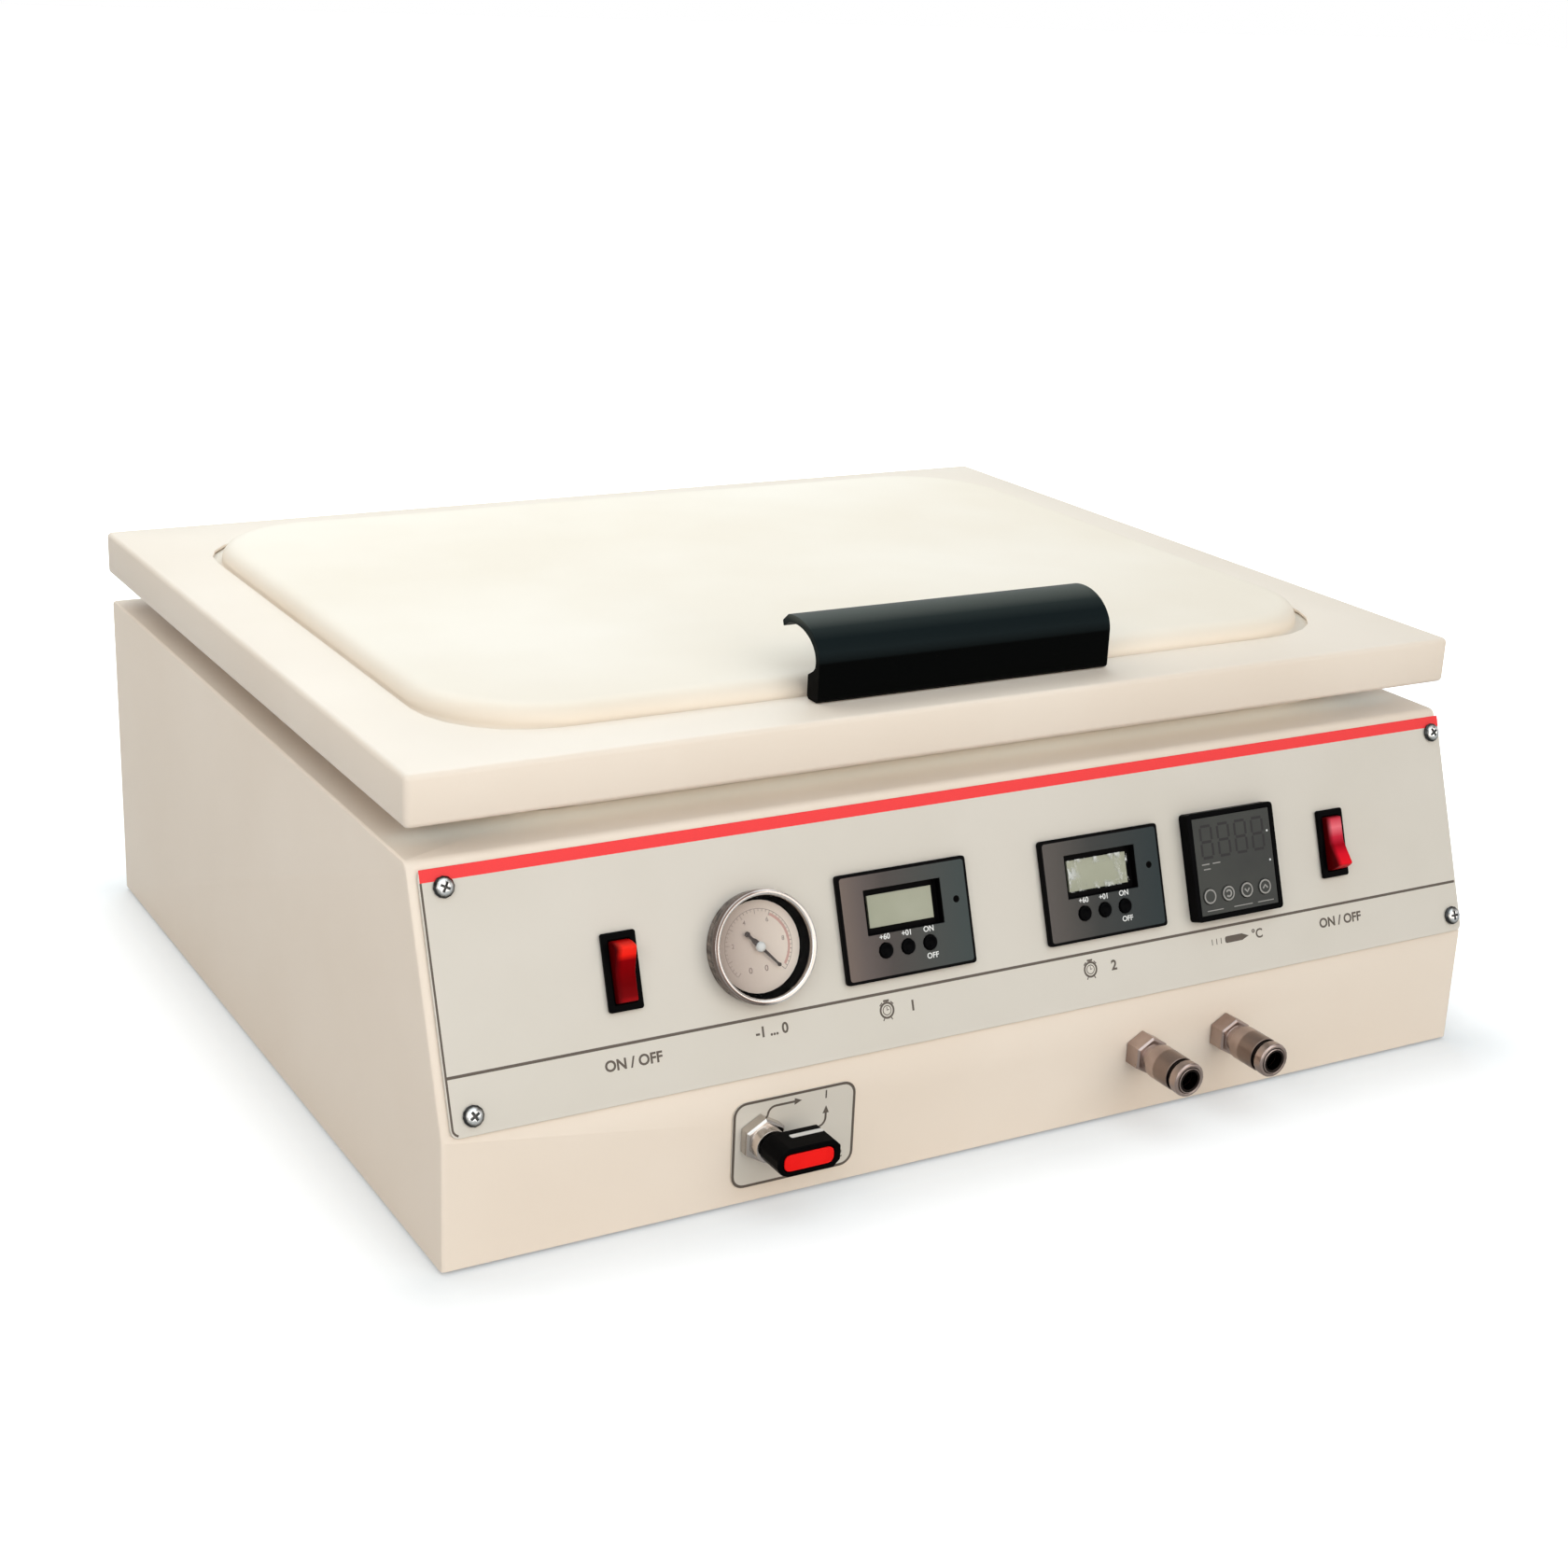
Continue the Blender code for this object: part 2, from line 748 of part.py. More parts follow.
def port_spot():
    """Where the vacuum port goes through the table: beside the heater mat, at the left."""
    reach = opening_width / 2 - table_opening_inset - port_inset
    return (-reach, lid_centre_y)


def make_heater():
    """The heater mat, bonded below the table plate."""
    width = opening_width - (table_opening_inset + heater_inset) * 2
    depth = opening_depth - (table_opening_inset + heater_inset) * 2
    size = (width, depth, heater_thickness)
    centre = (0, lid_centre_y, table_bottom - seat_gap - heater_thickness / 2)
    place("heater_mat", block("heater_mat", size), heater_silicone, centre)


def make_seal():
    """The rubber seal on the table, under the middle of the clamp ring."""
    inner = opening_loop(seal_reach - seal_width)
    outer = opening_loop(seal_reach)
    base = table_top + seat_gap
    height = ring_bottom - seat_gap - base
    place("table_seal", extruded("table_seal", [outer, inner], height), seal_rubber,
          (0, lid_centre_y, base))


lid_axis = empty("lid_axis", (0, hinge_axis_y, lid_bottom))
lid_centre = (0, lid_centre_y - hinge_axis_y, 0)


def make_lid_frame():
    """The lid's folded sheet frame: a top with a round-cornered opening, a rim and its return."""
    bm = bmesh.new()
    outline = rounded_rectangle(lid_width, lid_depth, lid_corner_radius, corner_steps)
    upper = add_loop(bm, outline, lid_height)
    bmesh.ops.bridge_loops(bm, edges=upper + add_loop(bm, opening_loop(0), lid_height))
    rim = bmesh.ops.extrude_edge_only(bm, edges=upper)["geom"]
    lowered = [part for part in rim if isinstance(part, bmesh.types.BMVert)]
    bmesh.ops.translate(bm, verts=lowered, vec=(0, 0, -lid_height))
    lower = [
        edge for edge in bm.edges
        if all(abs(corner.co.z) < weld_distance for corner in edge.verts)
    ]
    hem = bmesh.ops.extrude_edge_only(bm, edges=lower)["geom"]
    turned_in = [part for part in hem if isinstance(part, bmesh.types.BMVert)]
    inward = (1 - lid_return_width * 2 / lid_width, 1 - lid_return_width * 2 / lid_depth, 1)
    bmesh.ops.scale(bm, vec=inward, verts=turned_in)
    bmesh.ops.recalc_face_normals(bm, faces=bm.faces)
    for face in bm.faces:
        if face.normal.z < -facing_share and face.calc_center_median().z > lid_height / 2:
            bmesh.ops.reverse_faces(bm, faces=bm.faces)
            break
    bmesh.ops.bevel(bm, geom=upper + lower, offset=lid_bend_radius, offset_type="OFFSET",
                    segments=lid_bend_segments, profile=0.5, affect="EDGES", material=-1)
    mesh = bpy.data.meshes.new("lid_frame")
    bm.to_mesh(mesh)
    bm.free()
    frame = place("lid_frame", mesh, cream_coat, lid_centre, parent=lid_axis, smooth=True)
    wall = frame.modifiers.new("sheet", "SOLIDIFY")
    wall.thickness = lid_sheet
    wall.offset = -1
    wall.use_even_offset = True


def make_membrane():
    """The silicone membrane: a flat edge under the frame and a pillow that fills the opening."""
    rise = lid_top + membrane_crown - membrane_top
    edge = ring_overlap + ring_width
    levels = [(edge, 0), (-membrane_slack, 0)]
    for inward_share, rise_share in shoulder_shares:
        levels.append((-membrane_slack - shoulder_width * inward_share, rise * rise_share))
    levels.append((-opening_radius, rise))
    bm = bmesh.new()
    loops = []
    for grow, height in levels:
        bend = max(grow, -opening_radius * membrane_bend_share)
        loops.append(add_loop(bm, opening_loop(grow, bend), height))
    for outer, inner in zip(loops, loops[1:]):
        bmesh.ops.bridge_loops(bm, edges=outer + inner)
    bmesh.ops.holes_fill(bm, edges=loops[-1], sides=0)
    bmesh.ops.recalc_face_normals(bm, faces=bm.faces)
    for face in bm.faces:
        if face.normal.z < 0:
            face.normal_flip()
    mesh = bpy.data.meshes.new("membrane")
    bm.to_mesh(mesh)
    bm.free()
    location = (0, lid_centre[1], membrane_top - lid_bottom)
    membrane = place("membrane", mesh, cream_silicone, location, parent=lid_axis, smooth=True)
    wall = membrane.modifiers.new("sheet", "SOLIDIFY")
    wall.thickness = membrane_thickness
    wall.offset = -1
    wall.use_even_offset = True


def make_clamp_ring():
    """The aluminium ring that holds the membrane's edge and closes on the seal."""
    loops = [opening_loop(ring_overlap + ring_width), opening_loop(ring_overlap)]
    place("clamp_ring", extruded("clamp_ring", loops, ring_height), bare_aluminium,
          (0, lid_centre[1], -ring_drop), parent=lid_axis)


def handle_outline():
    """The handle's section: Y runs back from its front face, Z up from the lid."""
    reach, height, wall = handle_reach, handle_height, handle_wall
    curve_height = height - handle_front_height
    points = [(handle_foot_chamfer, 0), (0, handle_foot_chamfer)]
    for step in range(handle_arc_steps + 1):
        angle = math.pi - handle_outer_turn * step / handle_arc_steps
        across = reach * handle_arc_share * (1 + math.cos(angle))
        points.append((across, handle_front_height + curve_height * math.sin(angle)))
    tip = points[-1]
    lip = (reach, tip[1] - handle_lip_drop)
    lip_in, lip_down = handle_lip_shares
    points += [lip, (reach - wall * lip_in, lip[1] - wall * lip_down)]
    inner_reach, inner_height = reach * handle_arc_share - wall, curve_height - wall
    for step in range(handle_arc_steps + 1):
        angle = math.pi - handle_outer_turn + handle_inner_turn * step / handle_arc_steps
        across = wall + inner_reach * (1 + math.cos(angle))
        points.append((across, handle_front_height + inner_height * math.sin(angle)))
    foot = handle_foot_depth
    points += [
        (wall + (foot - wall) * handle_step_share, handle_foot_height + handle_foot_chamfer),
        (foot, handle_foot_height - handle_foot_chamfer),
        (foot, handle_foot_chamfer), (foot - handle_foot_chamfer, 0),
    ]
    return points


def make_handle():
    """The black handle: a hooked section that curls back over the lid's front border."""
    location = (
        handle_offset - handle_length / 2,
        front_y + lid_front + handle_setback - hinge_axis_y,
        lid_height + seat_gap,
    )
    place("lid_handle", extruded("lid_handle", [handle_outline()], handle_length),
          black_anodised, location, facing_right, lid_axis, smooth=True)


def make_hinge(side, x):
    """One rear hinge: a base on the rear panel, an arm on the lid and a pin through both."""
    radius = hinge_knuckle_radius
    front = rear_y + seat_gap - hinge_axis_y
    low = -hinge_neck_drop - hinge_base_height
    base = [(front, low), (front + hinge_plate, low), (front + hinge_plate, -hinge_neck_drop)]
    base += arc((0, 0), radius, -math.pi / 3, math.radians(150), coarse_steps // 2)
    base += arc((0, 0), radius, math.radians(165), math.radians(195), 2)
    base += [(front, -hinge_neck_drop / 2)]
    eye = circle(hinge_pin_radius + running_gap)
    location = (x - hinge_base_width / 2, hinge_axis_y, lid_bottom)
    place(f"hinge_base_{side}", extruded(f"hinge_base_{side}", [base, eye], hinge_base_width),
          bright_steel, location, facing_right, smooth=True)
    wall = lid_front + lid_depth + seat_gap - hinge_axis_reach
    cheek = [(wall, radius + seat_gap), (wall, 0)]
    cheek += arc((0, 0), radius, math.pi, math.radians(405), coarse_steps // 2)
    cheek += [(wall + hinge_plate, radius + seat_gap)]
    name = f"hinge_arm_{side}"
    inner = hinge_base_width / 2 + running_gap
    left = extruded(f"{name}_cheek", [cheek, eye], hinge_cheek_width)
    turn = Matrix.Rotation(math.pi / 2, 4, "Z") @ Matrix.Rotation(math.pi / 2, 4, "X")
    bm = bmesh.new()
    for start in (-inner - hinge_cheek_width, inner):
        before = set(bm.verts)
        bm.from_mesh(left)
        fresh = [corner for corner in bm.verts if corner not in before]
        bmesh.ops.transform(bm, matrix=Matrix.Translation((start, 0, 0)) @ turn, verts=fresh)
    cheeks = tool(f"{name}_cheeks", mesh_from(bm, f"{name}_cheeks"), (x, 0, 0), parent=lid_axis)
    width = (inner + hinge_cheek_width) * 2
    height = hinge_arm_height - radius - seat_gap
    middle = radius + seat_gap + height / 2
    plate = block(name, (width, hinge_plate, height), (0, wall + hinge_plate / 2, middle))
    arm = place(name, plate, bright_steel, (x, 0, 0), parent=lid_axis)
    combine(arm, cheeks, "UNION")
    length = (inner + hinge_cheek_width + seat_gap) * 2
    head = pin_head_radius
    profile = (
        (0, length + pin_head_height), (head, length + pin_head_height), (head, length),
        (hinge_pin_radius, length), (hinge_pin_radius, -pin_head_height), (0, -pin_head_height),
    )
    turned(f"hinge_pin_{side}", profile, coarse_steps, bright_steel,
           location=(x - length / 2, hinge_axis_y, lid_bottom), rotation=(0, math.pi / 2, 0))


def make_fascia():
    """The control panel plate, with a hole for each control and screw."""
    width = body_width - fascia_left - fascia_right
    centre = (fascia_left + width / 2, fascia_bottom + fascia_height / 2)
    loops = [rounded_rectangle(width, fascia_height, fascia_corner_radius, 3, centre)]
    for place_x in (pump_switch_place, heat_switch_place):
        loops.append(rectangle(
            switch_width - switch_lip * 2 + running_gap * 2,
            switch_height - switch_lip * 2 + running_gap * 2, (place_x, control_line)))
    for place_x in (pump_timer_place, heat_timer_place):
        loops.append(rectangle(
            timer_width - timer_lip * 2 + running_gap * 2,
            timer_height - timer_lip * 2 + running_gap * 2, (place_x, control_line)))
    side = controller_size - controller_lip * 2 + running_gap * 2
    loops.append(rectangle(side, side, (controller_place, control_line)))
    loops.append(circle(gauge_case_radius + running_gap, (gauge_place, control_line), fine_steps))
    loops += [circle(screw_shank_radius + running_gap, spot) for spot in screw_places()]
    place("fascia", extruded("fascia", loops, fascia_sheet), fascia_film,
          (0, 0, seat_gap), parent=slope_face)


def make_screws():
    """The fascia's four pan-head screws, each with a cross recess."""
    top = screw_head_height
    radius = screw_head_radius
    profile = [(radius * across, top * up) for across, up in screw_head_shares]
    profile += [
        (radius, 0), (screw_shank_radius, 0), (screw_shank_radius, -screw_shank_length),
        (0, -screw_shank_length),
    ]
    for number, (x, y) in enumerate(screw_places(), 1):
        spot = (x, y, fascia_face + seat_gap)
        screw = turned(f"fascia_screw_{number}", profile, coarse_steps, chrome_plate,
                       location=spot, parent=slope_face)
        bm = bmesh.new()
        depth = screw_cross_depth + overrun
        centre = (0, 0, top - screw_cross_depth + depth / 2)
        add_block(bm, (screw_cross_length, screw_cross_width, depth), centre)
        first = tool(f"cross_{number}", mesh_from(bm, "cross"), spot, parent=slope_face)
        first.rotation_euler = (0, 0, screw_turn * number)
        second = tool(f"cross_{number}_b", first.data, spot, parent=slope_face)
        second.rotation_euler = (0, 0, screw_turn * number + math.pi / 2)
        combine(screw, first)
        combine(screw, second)


def make_switch(name, place_x, up_is_out):
    """A rocker switch: a bezel with its body, and a rocker that pivots between its ends."""
    base = fascia_face + seat_gap
    outline = rounded_rectangle(switch_width, switch_height, switch_corner_radius, 2)
    bezel = place(f"{name}_bezel", extruded(f"{name}_bezel", [outline], switch_flange),
                  black_plastic, (place_x, control_line, base), parent=slope_face)
    inside = (switch_width - switch_lip * 2, switch_height - switch_lip * 2)
    bite = switch_flange / 2
    body = block(f"{name}_body", (*inside, switch_body_depth + bite),
                 (0, 0, (bite - switch_body_depth) / 2))
    combine(bezel, tool(f"{name}_body", body, bezel.location, parent=slope_face), "UNION")
    window = (switch_window_width, (rocker_radius + running_gap) * 2)
    depth = switch_body_depth - switch_wall
    well = block(f"{name}_well", (*window, depth + switch_flange + overrun),
                 (0, 0, (switch_flange + overrun - depth) / 2))
    combine(bezel, tool(f"{name}_well", well, bezel.location, parent=slope_face))
    rise = math.asin(rocker_top_share)
    fall = -math.asin(rocker_floor / rocker_radius)
    section = arc((0, 0), rocker_radius, fall, rise, rocker_arc_steps)
    section.append((0, rocker_valley))
    section += [(-x, y) for x, y in reversed(section[:-1])]
    width = switch_window_width - running_gap * 2
    mesh = extruded(f"{name}_rocker", [section], width)
    tilt = rocker_tilt if up_is_out else -rocker_tilt
    axis = empty(f"{name}_axis", (place_x, control_line, base + switch_flange - rocker_pivot_drop),
                 (tilt, 0, 0), slope_face)
    place(f"{name}_rocker", mesh, red_rocker, (-width / 2, 0, 0), facing_right, axis)


def make_gauge():
    """The vacuum gauge: cup-shaped case, dial, pointer on its pivot, and lens."""
    face = fascia_face + seat_gap
    front = face + gauge_proud
    bore = gauge_radius - gauge_rim
    case_bore = gauge_case_radius - gauge_wall
    floor = fascia_face + gauge_dial_height
    back = -gauge_depth
    profile = (
        (0, floor), (case_bore, floor), (bore, front), (gauge_radius - gauge_rim_edge, front),
        (gauge_radius, front - gauge_rim_edge), (gauge_radius, front - gauge_rim_step),
        (gauge_radius - gauge_bezel_step, front - gauge_rim_step - gauge_bezel_back),
        (gauge_radius - gauge_bezel_step, face), (gauge_case_radius, face),
        (gauge_case_radius, back), (gauge_stem_radius, back),
        (gauge_stem_radius, back - gauge_stem_length), (0, back - gauge_stem_length),
    )
    centre = (gauge_place, control_line, 0)
    turned("gauge_case", profile, fine_steps, chrome_plate, location=centre, parent=slope_face)
    dial_base = floor + seat_gap
    dial = [circle(case_bore - running_gap, steps=fine_steps),
            circle(gauge_pivot_radius + running_gap, steps=coarse_steps)]
    place("gauge_dial", extruded("gauge_dial", dial, gauge_dial_thickness), dial_enamel,
          (gauge_place, control_line, dial_base), parent=slope_face)
    axis = empty("pointer_axis", (gauge_place, control_line,
                                  dial_base + gauge_dial_thickness + running_gap),
                 (0, 0, pointer_rest), slope_face)
    half, tip = pointer_width / 2, pointer_tip_width / 2
    blade = [(-pointer_tail, -pointer_width), (0, -half), (pointer_length, -tip),
             (pointer_length, tip), (0, half), (-pointer_tail, pointer_width)]
    pointer = place("gauge_pointer", extruded("gauge_pointer", [blade], pointer_thickness),
                    pointer_paint, (0, 0, pointer_height), parent=axis)
    hub_height = pointer_height + pointer_thickness + pointer_hub_height
    hub = cylinder("pointer_hub", pointer_hub_radius, hub_height, steps=coarse_steps)
    combine(pointer, tool("pointer_hub", hub, parent=axis), "UNION")
    lens_top = front - gauge_lens_drop
    slant = (bore - case_bore) / (front - floor)
    low = lens_top - gauge_lens_thickness
    lens_low = case_bore + slant * (low - floor) - running_gap
    lens_high = case_bore + slant * (lens_top - floor) - running_gap
    lens = ((0, lens_top), (lens_high, lens_top), (lens_low, low), (0, low))
    turned("gauge_lens", lens, fine_steps, clear_lens, location=centre, parent=slope_face)


def make_timer(name, place_x):
    """A count-down timer: case, display in its recess and three push buttons."""
    base = fascia_face + seat_gap
    corner = (place_x - timer_width / 2, control_line - timer_height / 2)
    outline = rounded_rectangle(timer_width, timer_height, timer_corner_radius, 2)
    case = place(f"{name}_case", extruded(f"{name}_case", [outline], timer_flange),
                 timer_plastic, (place_x, control_line, base), parent=slope_face)
    bite = timer_flange / 2
    inside = (timer_width - timer_lip * 2, timer_height - timer_lip * 2)
    body = block(f"{name}_body", (*inside, timer_body_depth + bite),
                 (0, 0, (bite - timer_body_depth) / 2))
    combine(case, tool(f"{name}_body", body, case.location, parent=slope_face), "UNION")
    face = base + timer_flange
    middle = (corner[0] + timer_window_left + timer_window_width / 2,
              corner[1] + timer_window_bottom + timer_window_height / 2)
    bm = bmesh.new()
    depth = timer_window_recess + overrun
    add_block(bm, (timer_window_width, timer_window_height, depth),
              (*middle, face + overrun - depth / 2))
    well = timer_button_depth - timer_button_proud + timer_button_travel + seat_gap
    row = corner[1] + timer_button_bottom
    spots = [corner[0] + timer_button_left + timer_button_pitch * number
             for number in range(timer_button_count)]
    for x in spots:
        add_cylinder(bm, timer_button_radius + running_gap, well + overrun,
                     (x, row, face - well), coarse_steps)
    combine(case, tool(f"{name}_wells", mesh_from(bm, f"{name}_wells"), parent=slope_face))
    width = timer_window_width - timer_mask_side * 2
    height = timer_window_height - timer_mask_edge * 2
    centre = (*middle, face - timer_window_recess + seat_gap + timer_display_thickness / 2)
    place(f"{name}_display", block(f"{name}_display", (width, height, timer_display_thickness)),
          display_glass, centre, parent=slope_face)
    profile = (
        (0, 0), (timer_button_flat, 0), (timer_button_radius, -timer_button_proud / 2),
        (timer_button_radius, -timer_button_depth), (0, -timer_button_depth),
    )
    for number, x in enumerate(spots, 1):
        turned(f"{name}_button_{number}", profile, coarse_steps, black_plastic,
               location=(x, row, face + timer_button_proud), parent=slope_face)


def make_controller():
    """The temperature controller: square case, dark window and four round keys."""
    base = fascia_face + seat_gap
    place_at = (controller_place, control_line, base)
    outline = rounded_rectangle(controller_size, controller_size, controller_corner_radius, 2)
    case = place("controller_case", extruded("controller_case", [outline], controller_proud),
                 black_plastic, place_at, parent=slope_face)
    bite = controller_proud / 2
    inside = controller_size - controller_lip * 2
    body = block("controller_body", (inside, inside, controller_depth + bite),
                 (0, 0, (bite - controller_depth) / 2))
    combine(case, tool("controller_body", body, place_at, parent=slope_face), "UNION")
    face = base + controller_proud
    side = controller_size - controller_window_inset * 2
    corner = (controller_place - controller_size / 2, control_line - controller_size / 2)
    row = corner[1] + key_bottom
    spots = [corner[0] + key_left + key_pitch * number for number in range(key_count)]
    well = key_depth - key_proud + key_travel + seat_gap
    bm = bmesh.new()
    depth = controller_window_recess + overrun
    add_block(bm, (side, side, depth), (controller_place, control_line, face + overrun - depth / 2))
    combine(case, tool("window_recess", mesh_from(bm, "window_recess"), parent=slope_face))
    bm = bmesh.new()
    for x in spots:
        add_cylinder(bm, key_radius + running_gap, well + overrun, (x, row, face - well),
                     coarse_steps)
    combine(case, tool("key_wells", mesh_from(bm, "key_wells"), parent=slope_face))
    thickness = controller_window_recess - controller_window_drop - seat_gap
    pane = side - running_gap * 2
    loops = [rectangle(pane, pane, (controller_place, control_line))]
    loops += [circle(key_radius + running_gap, (x, row)) for x in spots]
    place("controller_window", extruded("controller_window", loops, thickness), dark_window,
          (0, 0, face - controller_window_recess + seat_gap), parent=slope_face)
    profile = ((0, 0), (key_radius, 0), (key_radius, -key_depth), (0, -key_depth))
    for number, x in enumerate(spots, 1):
        turned(f"controller_key_{number}", profile, coarse_steps, black_plastic,
               location=(x, row, face + key_proud), parent=slope_face)


def nut_profile_mesh(name, across_flats, height, chamfer, foot):
    """A hexagonal nut whose outer corners are turned off."""
    bm = bmesh.new()
    radius = across_flats / math.sqrt(3)
    shape = Matrix.Translation((0, 0, foot + height / 2))
    bmesh.ops.create_cone(bm, cap_ends=True, segments=6, radius1=radius, radius2=radius,
                          depth=height, matrix=shape)
    top = [edge for edge in bm.edges if all(v.co.z > foot + height / 2 for v in edge.verts)]
    bmesh.ops.bevel(bm, geom=top, offset=chamfer, offset_type="OFFSET", segments=1, profile=0.5,
                    affect="EDGES", material=-1)
    return mesh_from(bm, name)


def make_valve():
    """The changeover valve: label plate, body with nut, collar and stem, lever and its insert."""
    plate_top = seat_gap + plate_sheet
    plate_centre = (valve_place - plate_left + plate_width / 2, plate_bottom + plate_height / 2)
    loops = [rounded_rectangle(plate_width, plate_height, plate_corner_radius, 4, plate_centre),
             circle(barrel_radius + running_gap, (valve_place, valve_height), medium_steps)]
    place("valve_plate", extruded("valve_plate", loops, plate_sheet), fascia_film,
          (0, 0, seat_gap), parent=front_face)
    spot = (valve_place, valve_height, 0)
    nut_foot = plate_top + seat_gap
    mesh = nut_profile_mesh("valve_body", nut_across_flats, nut_height, nut_chamfer, nut_foot)
    valve = place("valve_body", mesh, chrome_plate, spot, parent=front_face, smooth=True)
    bite = nut_height / 2
    collar_top = nut_foot + nut_height + collar_height
    inner_end = -casing_sheet - seat_gap
    bm = bmesh.new()
    add_cylinder(bm, barrel_radius, nut_foot + bite - inner_end + bite, (0, 0, inner_end - bite),
                 medium_steps)
    combine(valve, tool("valve_barrel", mesh_from(bm, "valve_barrel"), spot, parent=front_face),
            "UNION")
    bm = bmesh.new()
    add_cylinder(bm, collar_radius, collar_top - nut_foot - bite, (0, 0, nut_foot + bite),
                 medium_steps)
    combine(valve, tool("valve_collar", mesh_from(bm, "valve_collar"), spot, parent=front_face),
            "UNION")
    bm = bmesh.new()
    add_cylinder(bm, stem_radius, stem_length + bite, (0, 0, collar_top - bite), coarse_steps)
    combine(valve, tool("valve_stem", mesh_from(bm, "valve_stem"), spot, parent=front_face),
            "UNION")
    size = (valve_block_size, valve_block_size, valve_block_depth)
    bm = bmesh.new()
    add_block(bm, size, (0, 0, inner_end - valve_block_depth / 2))
    combine(valve, tool("valve_block", mesh_from(bm, "valve_block"), spot, parent=front_face),
            "UNION")
    lever_foot = collar_top + running_gap
    axis = empty("lever_axis", (valve_place, valve_height, lever_foot), parent=front_face)
    half = lever_width / 2
    outline = [(0, -half), (lever_arm - lever_chamfer, -half), (lever_arm, lever_chamfer - half),
               (lever_arm, half - lever_chamfer), (lever_arm - lever_chamfer, half), (0, half)]
    outline += arc((0, 0), lever_heel, *lever_heel_angles, lever_heel_steps)
    lever = place("valve_lever", extruded("valve_lever", [outline], lever_depth), black_plastic,
                  parent=axis)
    bore = cylinder("lever_bore", stem_radius + running_gap, lever_bore_depth + overrun,
                    (0, 0, -overrun))
    combine(lever, tool("lever_bore", bore, parent=axis))
    seat = [rounded_rectangle(insert_length, insert_width, insert_corner_radius)]
    centre_x = (lever_arm - lever_heel) / 2
    depth = insert_depth + overrun
    recess = tool("insert_recess", extruded("insert_recess", seat, depth),
                  (centre_x, 0, lever_depth - insert_depth), parent=axis)
    combine(lever, recess)
    trim = running_gap * 2
    shape = [rounded_rectangle(insert_length - trim, insert_width - trim, insert_corner_radius)]
    thickness = insert_depth - seat_gap + insert_proud
    place("lever_insert", extruded("lever_insert", shape, thickness), red_insert,
          (centre_x, 0, lever_depth - insert_depth + seat_gap), parent=axis)


def make_coupler(number, place_x):
    """A quick coupler: hexagonal body with a bored tube, and the sleeve that slides on it."""
    spot = (place_x, coupler_height, 0)
    foot = seat_gap
    name = f"coupler_body_{number}"
    mesh = nut_profile_mesh(name, coupler_hex_across_flats, coupler_hex_height,
                            coupler_hex_chamfer, foot)
    body = place(name, mesh, nickel_plate, spot, parent=front_face, smooth=True)
    bite = coupler_hex_height / 2
    tube = cylinder(f"coupler_tube_{number}", coupler_tube_radius, coupler_reach - foot - bite,
                    (0, 0, foot + bite), medium_steps)
    combine(body, tool(f"coupler_tube_{number}", tube, spot, parent=front_face), "UNION")
    tail = cylinder(f"coupler_tail_{number}", coupler_tail_radius, coupler_tail_length + bite,
                    (0, 0, foot + bite - coupler_tail_length - bite), medium_steps)
    combine(body, tool(f"coupler_tail_{number}", tail, spot, parent=front_face), "UNION")
    bore = cylinder(f"coupler_bore_{number}", coupler_bore_radius, coupler_bore_depth + overrun,
                    (0, 0, coupler_reach - coupler_bore_depth), medium_steps)
    combine(body, tool(f"coupler_bore_{number}", bore, spot, parent=front_face))
    start = foot + coupler_hex_height + sleeve_travel + sleeve_spare_travel
    end = coupler_reach - seat_gap
    inner = coupler_tube_radius + running_gap
    groove_end = end - sleeve_ring_length
    groove_start = groove_end - sleeve_groove_length
    profile = (
        (inner, end), (sleeve_radius - sleeve_edge, end), (sleeve_radius, end - sleeve_edge),
        (sleeve_radius, groove_end), (sleeve_neck_radius, groove_end),
        (sleeve_neck_radius, groove_start), (sleeve_radius, groove_start),
        (sleeve_radius, start + sleeve_edge), (sleeve_radius - sleeve_edge, start), (inner, start),
        (inner, end),
    )
    turned(f"coupler_sleeve_{number}", profile, medium_steps, nickel_plate, location=spot,
           parent=front_face)


def make_pump():
    """The diaphragm vacuum pump on the base plate: motor, head, foot rail and port."""
    floor = base_height + base_sheet + seat_gap
    spot = (left_x + pump_left, rear_y - pump_rear, floor)
    length = pump_motor_length + pump_head_length
    base = block("vacuum_pump", (length, pump_base_depth, pump_base_height),
                 (length / 2, 0, pump_base_height / 2))
    pump = place("vacuum_pump", base, pump_paint, spot)
    bite = pump_base_height / 2
    bm = bmesh.new()
    add_block(bm, (pump_head_length, pump_head_depth, pump_head_height),
              (pump_head_length / 2, 0, bite + pump_head_height / 2))
    combine(pump, tool("pump_head", mesh_from(bm, "pump_head"), spot), "UNION")
    motor = cylinder("pump_motor", pump_motor_radius, pump_motor_length + bite, steps=medium_steps)
    axis_height = bite + pump_motor_radius
    start = (spot[0] + pump_head_length - bite, spot[1], spot[2] + axis_height)
    combine(pump, tool("pump_motor", motor, start, (0, math.pi / 2, 0)), "UNION")
    port = cylinder("pump_port", pump_port_radius, pump_port_height + bite)
    top = bite + pump_head_height
    x = spot[0] + pump_head_length / 2
    combine(pump, tool("pump_port", port, (x, spot[1], spot[2] + top - bite)), "UNION")
    return Vector((x, spot[1], spot[2] + top + pump_port_height))


